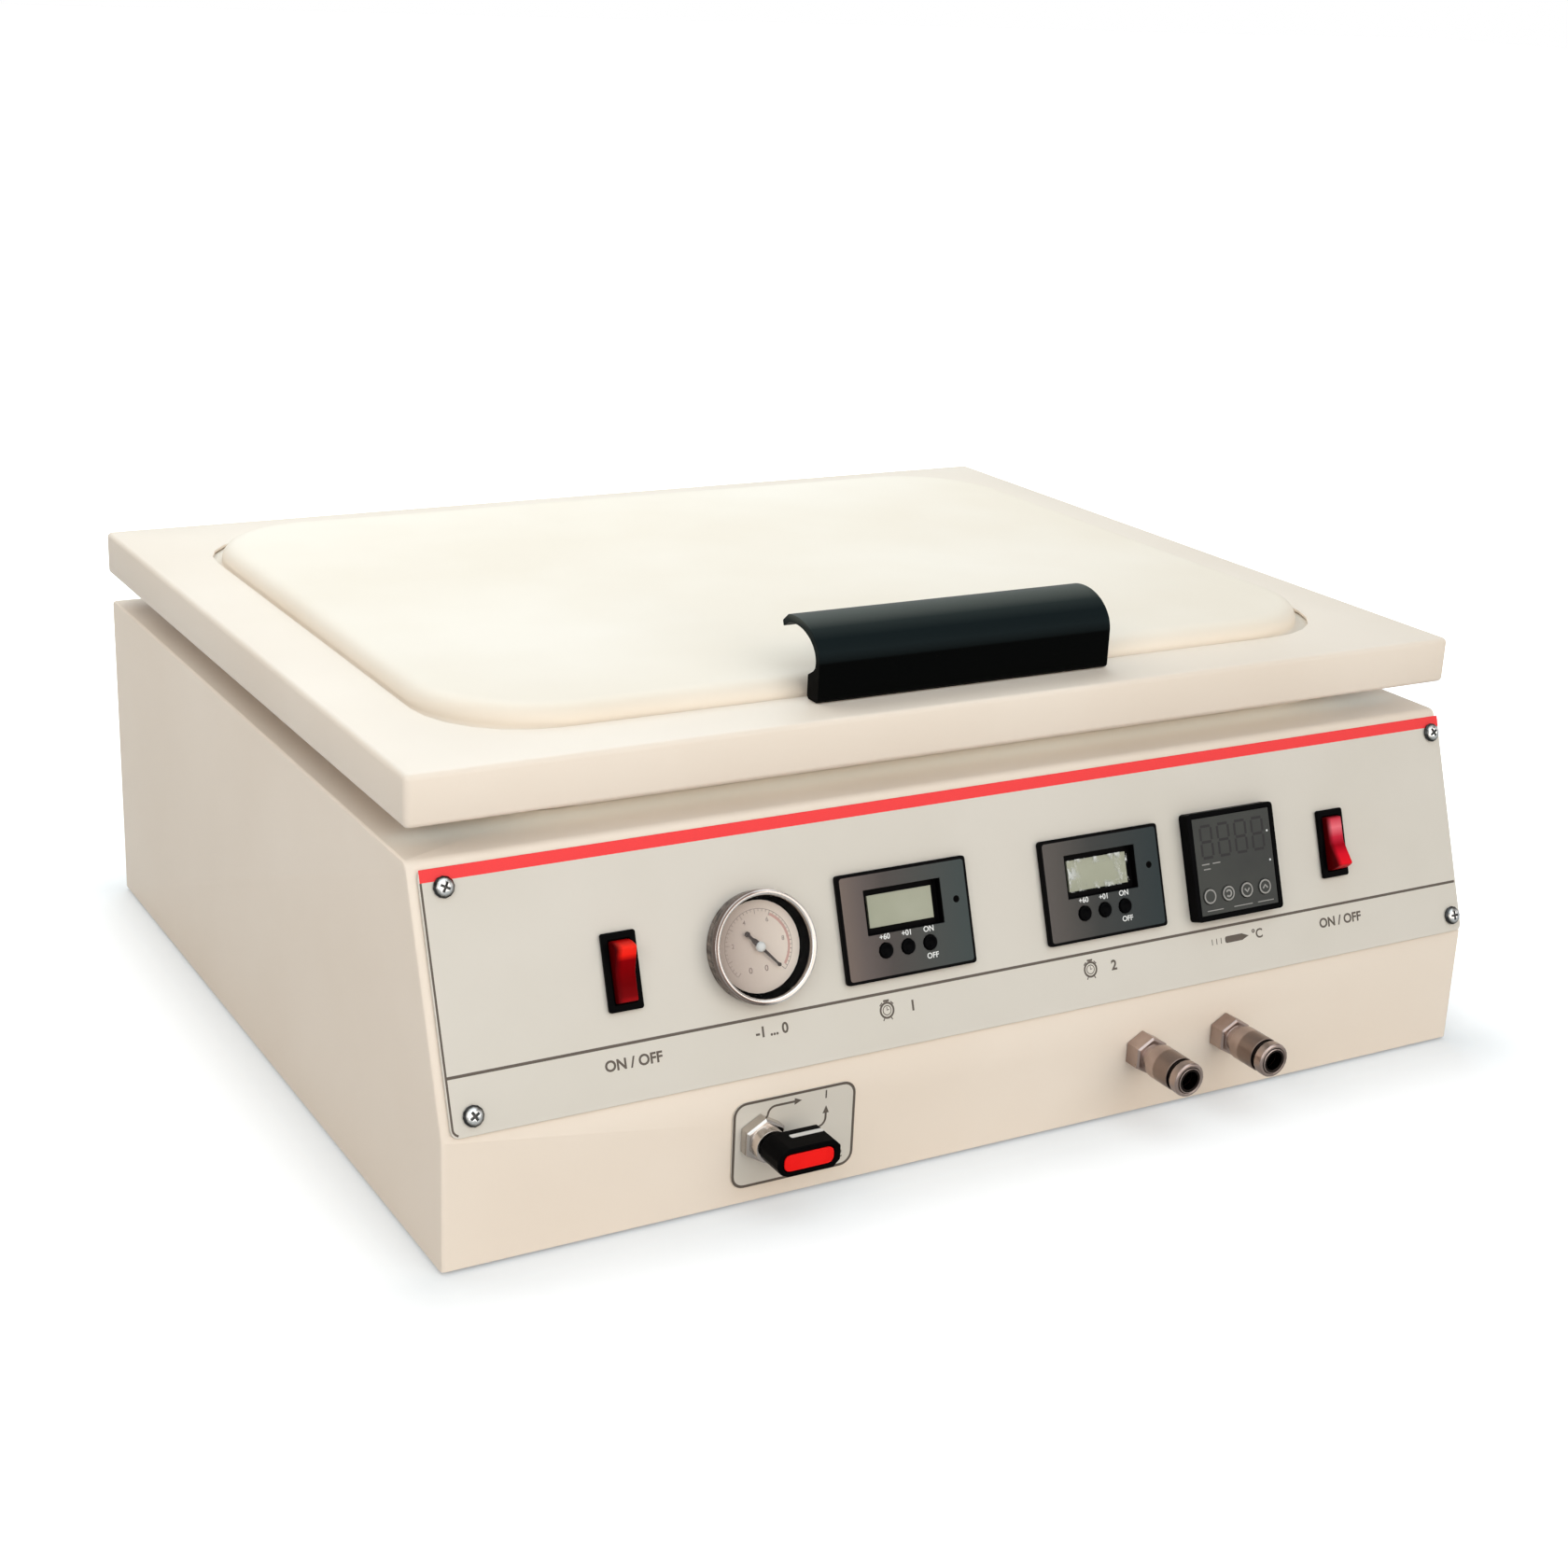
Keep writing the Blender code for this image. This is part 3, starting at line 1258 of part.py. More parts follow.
def make_hose(pump_port):
    """The hose from the pump's port up to the tail of the table's vacuum port."""
    start = pump_port + Vector((0, 0, seat_gap))
    x, y = port_spot()
    end = Vector((x, y, table_bottom - port_tail_length - seat_gap))
    straight = Vector((0, 0, hose_radius * 2))
    near, far = start + straight, end - straight
    leave = near + Vector((0, 0, hose_bow))
    arrive = far - Vector((0, 0, hose_bow))
    route = [start]
    for number in range(hose_points):
        share = number / (hose_points - 1)
        rest = 1 - share
        route.append(near * rest ** 3 + leave * (3 * rest ** 2 * share)
                     + arrive * (3 * rest * share ** 2) + far * share ** 3)
    route.append(end)
    curve = bpy.data.curves.new("vacuum_hose", "CURVE")
    curve.dimensions = "3D"
    curve.bevel_depth = hose_radius
    curve.bevel_resolution = 2
    curve.use_fill_caps = True
    spline = curve.splines.new("POLY")
    spline.points.add(len(route) - 1)
    for point, spot in zip(spline.points, route):
        point.co = (*spot, 1)
    hose = bpy.data.objects.new("vacuum_hose", curve)
    parts.objects.link(hose)
    curve.materials.append(hose_silicone)


def make_inlet():
    """The mains inlet on the rear panel: flange, body and a recess with three blades."""
    spot = (inlet_place, inlet_height, seat_gap)
    outline = rounded_rectangle(inlet_flange_width, inlet_flange_height, inlet_flange_radius)
    inlet = place("power_inlet", extruded("power_inlet", [outline], inlet_flange), black_plastic,
                  spot, parent=rear_face)
    bite = inlet_flange / 2
    body = block("inlet_body", (inlet_body_width, inlet_body_height, inlet_body_depth + bite),
                 (0, 0, (bite - inlet_body_depth) / 2))
    combine(inlet, tool("inlet_body", body, spot, parent=rear_face), "UNION")
    depth = inlet_recess_depth + overrun
    recess = block("inlet_recess", (inlet_recess_width, inlet_recess_height, depth),
                   (0, 0, inlet_flange + overrun - depth / 2))
    combine(inlet, tool("inlet_recess", recess, spot, parent=rear_face))
    floor = inlet_flange - inlet_recess_depth
    bm = bmesh.new()
    length = inlet_blade_length + bite
    for x, y in ((-inlet_blade_spread, -inlet_blade_rise), (0, inlet_blade_rise),
                 (inlet_blade_spread, -inlet_blade_rise)):
        add_block(bm, (inlet_blade_thickness, inlet_blade_width, length),
                  (x, y, floor - bite + length / 2))
    combine(inlet, tool("inlet_blades", mesh_from(bm, "inlet_blades"), spot, parent=rear_face),
            "UNION")


make_casing()
make_base_plate()
make_feet()
make_rear_panel()
make_table()
make_heater()
make_seal()
make_lid_frame()
make_membrane()
make_clamp_ring()
make_handle()
make_hinge("left", -hinge_place)
make_hinge("right", hinge_place)
make_fascia()
make_screws()
make_switch("pump_switch", pump_switch_place, True)
make_switch("heat_switch", heat_switch_place, False)
make_gauge()
make_timer("pump_timer", pump_timer_place)
make_timer("heat_timer", heat_timer_place)
make_controller()
make_valve()
for coupler_number, coupler_place in enumerate(coupler_places, 1):
    make_coupler(coupler_number, coupler_place)
make_hose(make_pump())
make_inlet()
bpy.context.view_layer.update()
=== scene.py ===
"""Looks of the vacuum press: finishes, fine shapes, printed marks, floor, lamps and camera."""

import json
import math

import bmesh
import bpy
from mathutils import Matrix, Vector, noise

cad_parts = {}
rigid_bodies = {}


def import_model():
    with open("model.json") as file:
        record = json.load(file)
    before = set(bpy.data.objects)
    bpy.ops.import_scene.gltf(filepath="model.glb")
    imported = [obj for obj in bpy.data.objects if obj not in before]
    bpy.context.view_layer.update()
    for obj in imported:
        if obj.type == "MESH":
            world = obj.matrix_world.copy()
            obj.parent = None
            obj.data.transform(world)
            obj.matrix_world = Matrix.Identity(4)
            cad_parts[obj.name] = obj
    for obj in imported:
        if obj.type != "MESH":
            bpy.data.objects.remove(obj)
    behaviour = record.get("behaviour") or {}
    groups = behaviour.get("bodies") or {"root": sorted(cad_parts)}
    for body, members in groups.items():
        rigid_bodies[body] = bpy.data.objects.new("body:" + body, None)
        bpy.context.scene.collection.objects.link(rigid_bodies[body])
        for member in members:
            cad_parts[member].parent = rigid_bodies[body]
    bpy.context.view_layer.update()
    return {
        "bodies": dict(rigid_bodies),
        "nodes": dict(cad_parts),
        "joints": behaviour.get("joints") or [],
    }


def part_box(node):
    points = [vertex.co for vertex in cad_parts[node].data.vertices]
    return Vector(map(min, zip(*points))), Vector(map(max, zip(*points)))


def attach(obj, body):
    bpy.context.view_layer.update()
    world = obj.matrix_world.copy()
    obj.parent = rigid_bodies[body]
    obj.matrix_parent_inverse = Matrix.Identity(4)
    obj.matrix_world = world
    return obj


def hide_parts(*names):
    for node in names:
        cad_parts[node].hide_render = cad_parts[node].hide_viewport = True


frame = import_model()
nodes = frame["nodes"]
slot_of = {name: node.data.materials[0].name for name, node in nodes.items()}
body_of = {
    name: body for name, node in nodes.items()
    for body, carrier in frame["bodies"].items() if node.parent is carrier
}


def srgb(red, green, blue):
    """A colour written as 0 to 255 in sRGB, as the shader wants it."""
    def linear(value):
        value /= 255
        return value / 12.92 if value <= 0.04045 else ((value + 0.055) / 1.055) ** 2.4
    return (linear(red), linear(green), linear(blue), 1.0)


# Meshes: what is merged, which bends look round, and how thick the print lies
weld = 0.000002
flat_angle = math.radians(0.6)
bend_angle = math.radians(38)
handle_bend_angle = math.radians(30)
handle_easing = 0.0003
cap_angle = math.radians(50)
cap_steps = 40
ring_steps = 28
corner_steps = 6
ink_height = 0.00004
ink_sunk = 0.00002

# Camera: its place, its turn about Z, its tilt down, its roll and its lens
camera_place = Vector((-0.5667, -0.9791, 0.4878))
camera_yaw = 0.528916
camera_pitch = 0.332178
camera_roll = 0.043905
camera_lens = 56.45
camera_sensor = 36

# Light: the sky, and what gloss sees of it, from the horizon (0) to straight up (1)
sky_stops = (
    (0.25, (0.16, 0.10, 0.03, 1)), (0.35, (0, 0, 0, 1)), (0.40, (0, 0, 0, 1)),
    (0.50, (1.45, 1.42, 1.38, 1)), (0.60, (1.45, 1.42, 1.38, 1)), (0.70, (0, 0, 0, 1)),
)
gloss_stops = (
    (0.0, (0.9, 0.9, 0.9, 1)), (0.22, (0.95, 0.95, 0.95, 1)), (0.42, (0.28, 0.27, 0.26, 1)),
    (0.62, (0.20, 0.19, 0.18, 1)), (0.75, (1.0, 1.0, 1.0, 1)), (1.0, (1.0, 1.0, 1.0, 1)),
)

# Lamps: name, kind, where they shine from, strength, colour, width in metres or spread in degrees
lamp_target = Vector((0.0, 0.0, 0.12))
lamps = (
    ("top_left_box", "AREA", (-0.7, 0.7, 1.3), 4.8, (1.0, 0.98, 0.90), 1.0),
    ("top_back_box", "AREA", (0.2, 0.9, 1.2), 8.2, (0.74, 0.91, 1.0), 1.0),
    ("left_front_box", "AREA", (-1.1, -1.1, 0.8), 5.2, (0.98, 0.99, 1.0), 1.0),
    ("high_lamp", "SUN", (0.0, -0.45, 0.9), 0.86, (0.73, 0.9, 1.0), 60),
    ("front_lamp", "SUN", (0.25, -0.95, 0.20), 1.2, (1.0, 0.93, 0.84), 60),
)

# The fill lamp under the table's front border
gap_lamp_width = 0.012
gap_lamp_ends = 0.010
gap_lamp_drop = 0.0020
gap_lamp_inset = 0.005
gap_lamp_strength = 0.0105
gap_lamp_colour = (0.64, 0.89, 1.0)

# The floor, whose white is dimmer near the casing: a painted shadow round the press's foot
floor_size = 12.0
floor_colour = (0.64, 0.64, 0.64, 1.0)
glow_reach = 0.40
glow_shade_stops = (
    (0.0, (0.25, 0.26, 0.268, 1)), (0.05, (0.40, 0.405, 0.41, 1)), (0.12, (0.60, 0.60, 0.605, 1)),
    (0.25, (0.74, 0.74, 0.74, 1)), (1.0, (1.0, 1.0, 1.0, 1)),
)

# Finishes: how much grain and lines change the roughness, and the noise that makes patches
peel_change = 0.08
line_change = 0.12
patch_ends = (0.35, 0.65)
cloud_ends = (0.3, 0.7)
cloud_size = 0.02

# Lid and membrane
lid_border = 0.0328
opening_radius = 0.045
membrane_slack = 0.0014
membrane_thickness = 0.0022
corner_ease = 0.011
shoulder_width = 0.0120
shoulder_power = 2.7
shoulder_share = 0.93
shoulder_steps = 14
crown_power = 0.8
top_steps = 30
flange_places = (0.022, 0.014, 0.006, 0.001)
crease_points = ((-0.0324, 0.172), (-0.047, 0.078), (-0.064, -0.010), (-0.047, -0.084))
crease_width = 0.013
crease_depth = 0.0007
ripple_size = 0.11
ripple_height = 0.0007

# Gauge: heights are above the fascia's face, and drops are below the bezel's top
gauge_wall = 0.0025
gauge_roll = 0.0011
gauge_waist = 0.0006
gauge_lens_drop = 0.0011
gauge_lens_crown = 0.0006
dial_scale_radius = 0.0152
dial_scale_start = math.radians(225)
dial_scale_turn = math.radians(-270)
dial_major_marks = 10
dial_minor_marks = 4
dial_long_mark = 0.0021
dial_short_mark = 0.0011
dial_mark_width = 0.00025
dial_line_width = 0.0002
dial_line_steps = 48
dial_zeros = ((-0.0048, -0.0090), (0.0024, -0.0090))
dial_zero_height = 0.0025
dial_numbers = ("2", "4", "6", "8")
dial_number_radius = 0.0115
dial_number_height = 0.0019
dial_number_weight = 0.008
dial_red_radius = 0.0138
dial_red_width = 0.0011
dial_red_ends = (math.radians(62), math.radians(-38))
gauge_steps = 96
gauge_side_drop = 0.0032
gauge_step_drop = 0.0038
gauge_neck_drop = 0.0042
gauge_step_in = 0.0003
gauge_neck_foot = 0.0004
barrel_top = 0.0003
barrel_margin = 0.0018
stem_length = 0.014
stem_radius = 0.006
liner_play = 0.0001
liner_lip = 0.0004
liner_drop = 0.0014
liner_lip_drop = 0.0018
liner_dial_margin = 0.0002
glass_play = 0.0002
glass_thickness = 0.0012
glass_shares = (0.25, 0.5, 0.75, 0.9)

# Pointer: half its outline from tip to tail, and the cap's crown as radius and drop
pointer_rest = math.radians(-48)
pointer_tip = (0.0112, 0)
pointer_tip_radius = 0.0008
pointer_tail = (-0.0077, 0)
pointer_tail_radius = 0.0011
pointer_side = ((0.0010, 0.0006), (-0.0012, 0.0012), (-0.0036, 0.0010), (-0.0048, 0.0005))
pointer_half_height = 0.00025
pointer_lift = 0.0003
pointer_foot = 0.0012
pointer_cap = ((0, 0), (0.0010, 0.0001), (0.0018, 0.0005), (0.0021, 0.0011))
pointer_cap_stem = 0.0011
pointer_cap_steps = 32
pointer_arc_steps = 12

# The bezel's chrome with painted reflections and highlights, its left unlike its right, from its
# rim's inside (0) to its outside (1)
bezel_band = 0.0040
bezel_depth = 0.0030
bezel_left_reflection_stops = (
    (0.0, (0.30, 0.25, 0.22, 1)), (0.34, (0.30, 0.25, 0.22, 1)), (0.42, (0.94, 0.92, 0.90, 1)),
    (0.60, (0.90, 0.87, 0.84, 1)), (0.68, (0.20, 0.15, 0.13, 1)), (0.80, (0.10, 0.07, 0.06, 1)),
    (0.88, (0.42, 0.37, 0.34, 1)), (1.0, (0.16, 0.12, 0.11, 1)),
)
bezel_right_reflection_stops = (
    (0.0, (0.30, 0.26, 0.24, 1)), (0.36, (0.36, 0.31, 0.28, 1)), (0.46, (0.86, 0.83, 0.80, 1)),
    (0.60, (0.50, 0.45, 0.42, 1)), (0.72, (0.54, 0.49, 0.46, 1)), (0.84, (0.92, 0.90, 0.88, 1)),
    (1.0, (0.92, 0.90, 0.88, 1)),
)

# Screw heads: where the painted shade round their rim begins and ends, and the depth below which
# their cross is painted black as shade
screw_bright = 0.0026
screw_dark = 0.0034
screw_cross = 0.0008

# Couplers: the sleeve's dark grip, and the groove and bore painted black as shade, from the
# sleeve's end backwards
grip_front = (0.0062, 0.0068)
grip_back = (0.0165, 0.0155)
groove_radius = 0.0074
groove_front = 0.0043
groove_back = 0.0069
bore_radius = 0.0053
bore_depth = 0.0040

# Switches and timers: painted light, shade and sheen, from the lower edge up, and from the left
# edge to the right
rocker_shade = 0.0026
pump_rocker_light_stops = (
    (0.0, srgb(150, 24, 28)), (0.05, srgb(150, 10, 16)), (0.10, srgb(120, 3, 9)),
    (0.30, srgb(110, 0, 4)), (0.68, srgb(138, 0, 6)), (0.77, srgb(250, 34, 24)),
    (0.92, srgb(255, 52, 38)), (1.0, srgb(176, 8, 12)),
)
pump_case_sheen_stops = (
    (0.0, srgb(124, 110, 103)), (0.16, srgb(106, 96, 93)), (0.35, srgb(88, 82, 80)),
    (0.6, srgb(82, 82, 80)), (1.0, srgb(72, 80, 80)),
)
heat_case_sheen_stops = (
    (0.0, srgb(100, 94, 91)), (0.12, srgb(94, 89, 86)), (0.42, srgb(72, 72, 71)),
    (1.0, srgb(56, 64, 66)),
)
heat_rocker_light_stops = (
    (0.0, srgb(160, 4, 18)), (0.12, srgb(240, 26, 40)), (0.30, srgb(222, 20, 42)),
    (0.46, srgb(164, 4, 26)), (0.62, srgb(206, 42, 64)), (0.80, srgb(240, 118, 130)),
    (0.95, srgb(214, 66, 82)), (1.0, srgb(130, 10, 24)),
)
timer_corner = 0.0026
timer_border = 0.0013
timer_well = 0.0004
timer_frame = 0.0021
timer_frame_corner = 0.0026

# Buttons and keys: their crowns as shares of their radius and heights over their top, and print
button_crown = (
    (0, -0.0007), (0.35, -0.00062), (0.62, -0.00035), (0.76, 0), (0.88, 0), (1, -0.0004),
)
button_words = ("+60", "+01", "ON")
button_word_height = 0.0024
button_word_rise = 0.0058
off_word_right = 0.0006
off_word_drop = 0.0112
sounder_right = 0.056
sounder_drop = 0.0175
sounder_radius = 0.0015
key_crown = ((0, 0), (0.8, 0), (0.95, -0.0001), (1, -0.0003))
key_ring_share = 0.86
key_ring_width = 0.0007
key_sign_width = 0.0008
key_arrow = ((-0.0013, 0.0007), (0, -0.0008), (0.0013, 0.0007))
key_arc_radius = 0.0014

# The display's film: its creases, and the lift of its edge
film_crease = 0.0038
film_crease_ends = (0.45, 0.6)
film_edge_ends = (0.55, 0.95)
film_cover = (1.02, 1.04)
film_squares = (48, 24)
film_crinkle = 0.0024
film_gap = 0.0002
film_flat_share = 0.55
film_lift = 0.0012

# The controller's window, from its middle
digit_left = -0.0146
digit_step = 0.0096
digit_rise = 0.0108
digit_size = (0.0072, 0.0152, 0.0012)
digit_gap_share = 0.25
window_dash = 0.0005
window_dashes = (
    ((-0.0165, 0.0010), 0.0042), ((-0.0105, 0.0010), 0.0042), ((-0.0160, -0.0012), 0.0038),
)
window_line = 0.0004
window_line_rise = -0.0196
window_lines = ((-0.0185, -0.0095), (-0.0035, 0.0070), (0.0100, 0.0190))
window_lamps = ((0.0196, 0.0113), (0.0196, -0.0018))
window_lamp_radius = 0.0005

# The handle: its painted sheen up to the crest, and its section as its profile is drawn
handle_curve = 0.0155
handle_sheen_stops = (
    (0.0, srgb(4, 5, 5)), (0.06, srgb(16, 21, 22)), (0.30, srgb(24, 32, 34)),
    (0.60, srgb(20, 28, 30)), (0.82, srgb(38, 45, 45)), (1.0, srgb(82, 86, 82)),
)
handle_height = 0.032
handle_reach = 0.0315
handle_wall = 0.0034
handle_front_height = 0.0165
handle_foot_depth = 0.0092
handle_foot_height = 0.0115
handle_foot_chamfer = 0.0012
handle_lip_drop = 0.0035
handle_lip_in = 0.25
handle_lip_down = 0.7
handle_arc_share = 0.66
handle_step_share = 0.3
handle_outer_turn = math.radians(108)
handle_inner_turn = math.radians(118)
handle_steps = 28

# Marks on the fascia, from its left and lower edges
stripe_height = 0.0050
stripe_left = 0.0006
line_place = 0.0231
line_width = 0.0012
border_inset = 0.0009
border_radius = 0.0030
border_width = 0.0009
border_turn = math.pi * 1.4
label_line = 0.0162
label_height = 0.0045
label_weight = 0.03
left_switch_label = (0.0779, label_line - 0.0005)
gauge_label = (0.1396, label_line + 0.0010)
timer_labels = (("1", (0.1936, label_line - 0.0003)), ("2", (0.2967, label_line - 0.0003)))
degree_label = (0.3890, label_line + 0.0010)
right_switch_label = (0.4377, label_line - 0.0003)
probe_spot = (0.3760, label_line + 0.0008)
probe_size = (0.0105, 0.0030, 0.0010)
probe_tip = ((0.0050, 0.0012), (0.0050, -0.0012), (0.0082, 0))
probe_wires = (-0.0125, -0.0100, -0.0075)
probe_wire_size = (0.0004, 0.0026)

# The stopwatch sign, in shares of its radius. Its crown: how far up, how wide, how high.
# Its bells and feet: how far across, how far up, how long.
clock_radius = 0.0031
clock_ring = 0.0009
clock_bar = 0.0005
clock_hair = 0.0004
clock_inner_share = 0.62
clock_crown_shares = (1.28, 0.9, 0.28)
clock_bell_shares = (0.85, 0.9, 0.55)
clock_foot_shares = (0.6, -1.15, 0.4)
clock_hand_shares = ((0, 0.45), (0, 0), (0.3, 0.1))
clock_number_step = 0.0125

# The valve plate's print, from its lower left corner, and the lever's pale strip, a painted
# highlight
plate_line_inset = 0.0014
plate_line_corner = 0.0053
plate_line = 0.0012
arrow_line = 0.0010
across_arrow_foot = ((0.0157, 0.0290), (0.0157, 0.0306))
across_arrow_bend = ((0.0195, 0.0306), 0.0036)
across_arrow_end = (0.0285, 0.0342)
across_arrow_head = ((0.0282, 0.0357), (0.0282, 0.0327), (0.0316, 0.0342))
up_arrow_foot = ((0.0262, 0.0203), (0.0385, 0.0203))
up_arrow_bend = ((0.0395, 0.0240), 0.0037)
up_arrow_end = (0.0432, 0.0262)
up_arrow_head = ((0.0417, 0.0260), (0.0447, 0.0260), (0.0432, 0.0294))
valve_numbers = (("1", (0.0430, 0.0345)), ("2", (0.0508, 0.0060)))
valve_number_height = 0.0036
lever_highlight_size = (0.0150, 0.0027, 0.0008)
lever_highlight_step = (0.0038, 0.0022)

# CAD nodes, without their number or side: their edges' easing, its steps, the widest round bend
dressings = {
    "casing": (0.0004, 3, 38), "lid_frame": (0.0004, 3, 38), "table_plate": (0.00025, 2, 38),
    "rear_panel": (0.00025, 2, 38), "fascia": (0.00025, 2, 38), "valve_plate": (0.00025, 2, 38),
    "clamp_ring": (0.0006, 3, 38), "table_seal": (0.0006, 3, 38),
    "fascia_screw": (0.00015, 2, 45),
    "pump_switch_bezel": (0.0005, 3, 38), "pump_switch_rocker": (0.0006, 3, 32),
    "heat_switch_bezel": (0.0005, 3, 38), "heat_switch_rocker": (0.0006, 3, 32),
    "pump_timer_case": (0.0005, 3, 38), "heat_timer_case": (0.0005, 3, 38),
    "controller_case": (0.0005, 3, 38), "controller_window": (0.0002, 2, 38),
    "valve_body": (0.0004, 3, 32), "valve_lever": (0.0016, 4, 32), "lever_insert": (0.0004, 3, 38),
    "coupler_body": (0.0004, 3, 32), "coupler_sleeve": (0.0003, 3, 32),
    "hinge_base": (0.0003, 2, 33), "hinge_arm": (0.0004, 2, 33), "hinge_pin": (0.0003, 2, 33),
    "power_inlet": (0.0004, 2, 38), "foot": (0.0005, 2, 40),
    "heater_mat": (0.0003, 2, 38), "base_plate": (0.0003, 2, 38),
    "vacuum_pump": (0.0012, 3, 40), "vacuum_hose": (0.0, 2, 60),
}


def extent(node, place):
    """The lowest and highest corners of a CAD node in a face's own frame."""
    turn = place.inverted()
    spots = [turn @ corner.co for corner in nodes[node].data.vertices]
    low = Vector([min(spot[axis] for spot in spots) for axis in range(3)])
    high = Vector([max(spot[axis] for spot in spots) for axis in range(3)])
    return low, high


def face_of(node, place):
    """The frame on a node's outermost face, at the node's middle."""
    low, high = extent(node, place)
    return place @ Matrix.Translation(((low.x + high.x) / 2, (low.y + high.y) / 2, high.z))


def face_frame(normal, node):
    """A frame whose Z leaves a face and whose X is level, at the node's lower left corner."""
    out = Vector(normal).normalized()
    across = Vector((0, 0, 1)).cross(out).normalized()
    turn = Matrix((across, out.cross(across), out)).transposed().to_4x4()
    low, high = extent(node, turn)
    return turn @ Matrix.Translation((low.x, low.y, high.z))


pointer_joint = next(joint for joint in frame["joints"] if joint["name"] == "pointer_sweep")
slope = face_frame(pointer_joint["axis"], "fascia")
plate_front = face_frame((0, -1, 0), "valve_plate")
slope_width, slope_height = (extent("fascia", slope)[1] - extent("fascia", slope)[0]).xy


def math_node(operation):
    """A way for a wire to meet another value in a Math node."""
    return lambda wire, other: wire.join(operation, wire, other)


class Wire:
    """A number that runs between shader nodes; sums and products add Math nodes."""

    __add__ = __radd__ = math_node("ADD")
    __mul__ = __rmul__ = math_node("MULTIPLY")
    __sub__ = math_node("SUBTRACT")
    __pow__ = math_node("POWER")
    __gt__ = math_node("GREATER_THAN")
    __lt__ = math_node("LESS_THAN")
    least = math_node("MINIMUM")
    most = math_node("MAXIMUM")

    def __init__(self, graph, socket):
        self.graph = graph
        self.socket = socket

    def join(self, operation, first, second):
        made = self.graph.node("ShaderNodeMath", {"operation": operation}, {0: first, 1: second})
        return Wire(self.graph, made.outputs[0])

    def __rsub__(self, other):
        return self.join("SUBTRACT", other, self)

    def __abs__(self):
        return self.join("ABSOLUTE", self, 0.0)


class Graph:
    """The shader nodes of a material or of the world."""

    def __init__(self, tree):
        self.tree = tree

    def node(self, kind, settings=None, values=None):
        """A shader node, its settings put first and then its sockets' values or wires."""
        made = self.tree.nodes.new(kind)
        for key, value in (settings or {}).items():
            if key == "stops":
                self.set_stops(made.color_ramp, value)
            else:
                setattr(made, key, value)
        for key, value in (values or {}).items():
            self.put(made.inputs[key], value)
        return made

    def put(self, socket, value):
        value = value.socket if isinstance(value, Wire) else value
        if isinstance(value, bpy.types.NodeSocket):
            self.tree.links.new(value, socket)
        else:
            socket.default_value = value

    def set_stops(self, ramp, stops):
        while len(ramp.elements) < len(stops):
            ramp.elements.new(1.0)
        for element, (place, colour) in zip(ramp.elements, stops):
            element.position = place
            element.color = colour

    def share(self, wire, low, high):
        """A wire's stretch from low to high, brought to 0 to 1."""
        made = self.node("ShaderNodeMapRange", {"clamp": True}, {0: wire, 1: low, 2: high})
        return Wire(self, made.outputs[0])

    def ramp(self, wire, stops):
        """The colour that the stops give for a wire."""
        return self.node("ShaderNodeValToRGB", {"stops": stops}, {0: wire}).outputs[0]

    def mix(self, share, first, second):
        """The first colour where the share is 0, the second where it is 1."""
        made = self.node("ShaderNodeMix", {"data_type": "RGBA"}, {0: share, 6: first, 7: second})
        return made.outputs[2]


class Paint(Graph):
    """A material under construction, with the press's own coordinates."""

    def __init__(self, name, colour, roughness, **constants):
        self.material = bpy.data.materials.new(name)
        self.material.use_nodes = True
        super().__init__(self.material.node_tree)
        self.shader = self.tree.nodes["Principled BSDF"]
        self.feed(Base_Color=colour, Roughness=roughness, **constants)

    def feed(self, **values):
        for key, value in values.items():
            self.put(self.shader.inputs[key.replace("_", " ")], value)

    def place(self, stretch=(1, 1, 1)):
        """The spot on the press, stretched along its axes."""
        at = self.node("ShaderNodeTexCoord").outputs["Object"]
        return self.node("ShaderNodeMapping", values={"Vector": at, "Scale": stretch}).outputs[0]

    def axis(self, number):
        parts = self.node("ShaderNodeSeparateXYZ", values={0: self.place()})
        return Wire(self, parts.outputs[number])

    def on_face(self, place, number):
        """How far the spot lies along one axis of a face's frame."""
        way = place.col[number].xyz
        made = self.node("ShaderNodeVectorMath", {"operation": "DOT_PRODUCT"},
                         {0: self.place(), 1: way})
        return Wire(self, made.outputs["Value"]) - way.dot(place.translation)

    def off_centres(self, place, centres):
        """How far the spot lies, along a face's X and Y, from the nearest centre's lines."""
        reach = []
        for number in range(2):
            spot = self.on_face(place, number)
            near = abs(spot - centres[0][number])
            for centre in centres[1:]:
                near = near.least(abs(spot - centre[number]))
            reach.append(near)
        return reach

    def off_block(self, place, centres, half, corner):
        """How far the spot lies outside the nearest block, whose corners are round."""
        across, up = self.off_centres(place, centres)
        across = (across - (half.x - corner)).most(0.0)
        up = (up - (half.y - corner)).most(0.0)
        return (across * across + up * up) ** 0.5

    def noise(self, size, detail=2.0, stretch=(1, 1, 1), rough=0.5):
        """Noise whose lumps are about as wide as size."""
        made = self.node("ShaderNodeTexNoise", values={
            "Vector": self.place(stretch), "Scale": 1 / size, "Detail": detail, "Roughness": rough})
        return Wire(self, made.outputs["Fac"])

    def bump(self, height, depth):
        made = self.node("ShaderNodeBump", values={"Height": height, "Distance": depth})
        self.feed(Normal=made.outputs[0])


def coat(name, light, dark, roughness, peel=0.0011, depth=0.00002, patch=0.12, **constants):
    """A paint or a moulded skin: patches of two near sRGB shades, and a fine orange peel."""
    light, dark = srgb(*light), srgb(*dark)
    paint = Paint(name, light, roughness, **constants)
    patches = paint.share(paint.noise(patch, 3.0), *patch_ends)
    grain = paint.noise(peel, 2.0)
    paint.feed(Base_Color=paint.mix(patches, dark, light),
               Roughness=roughness + peel_change * grain)
    paint.bump(grain, depth)
    return paint


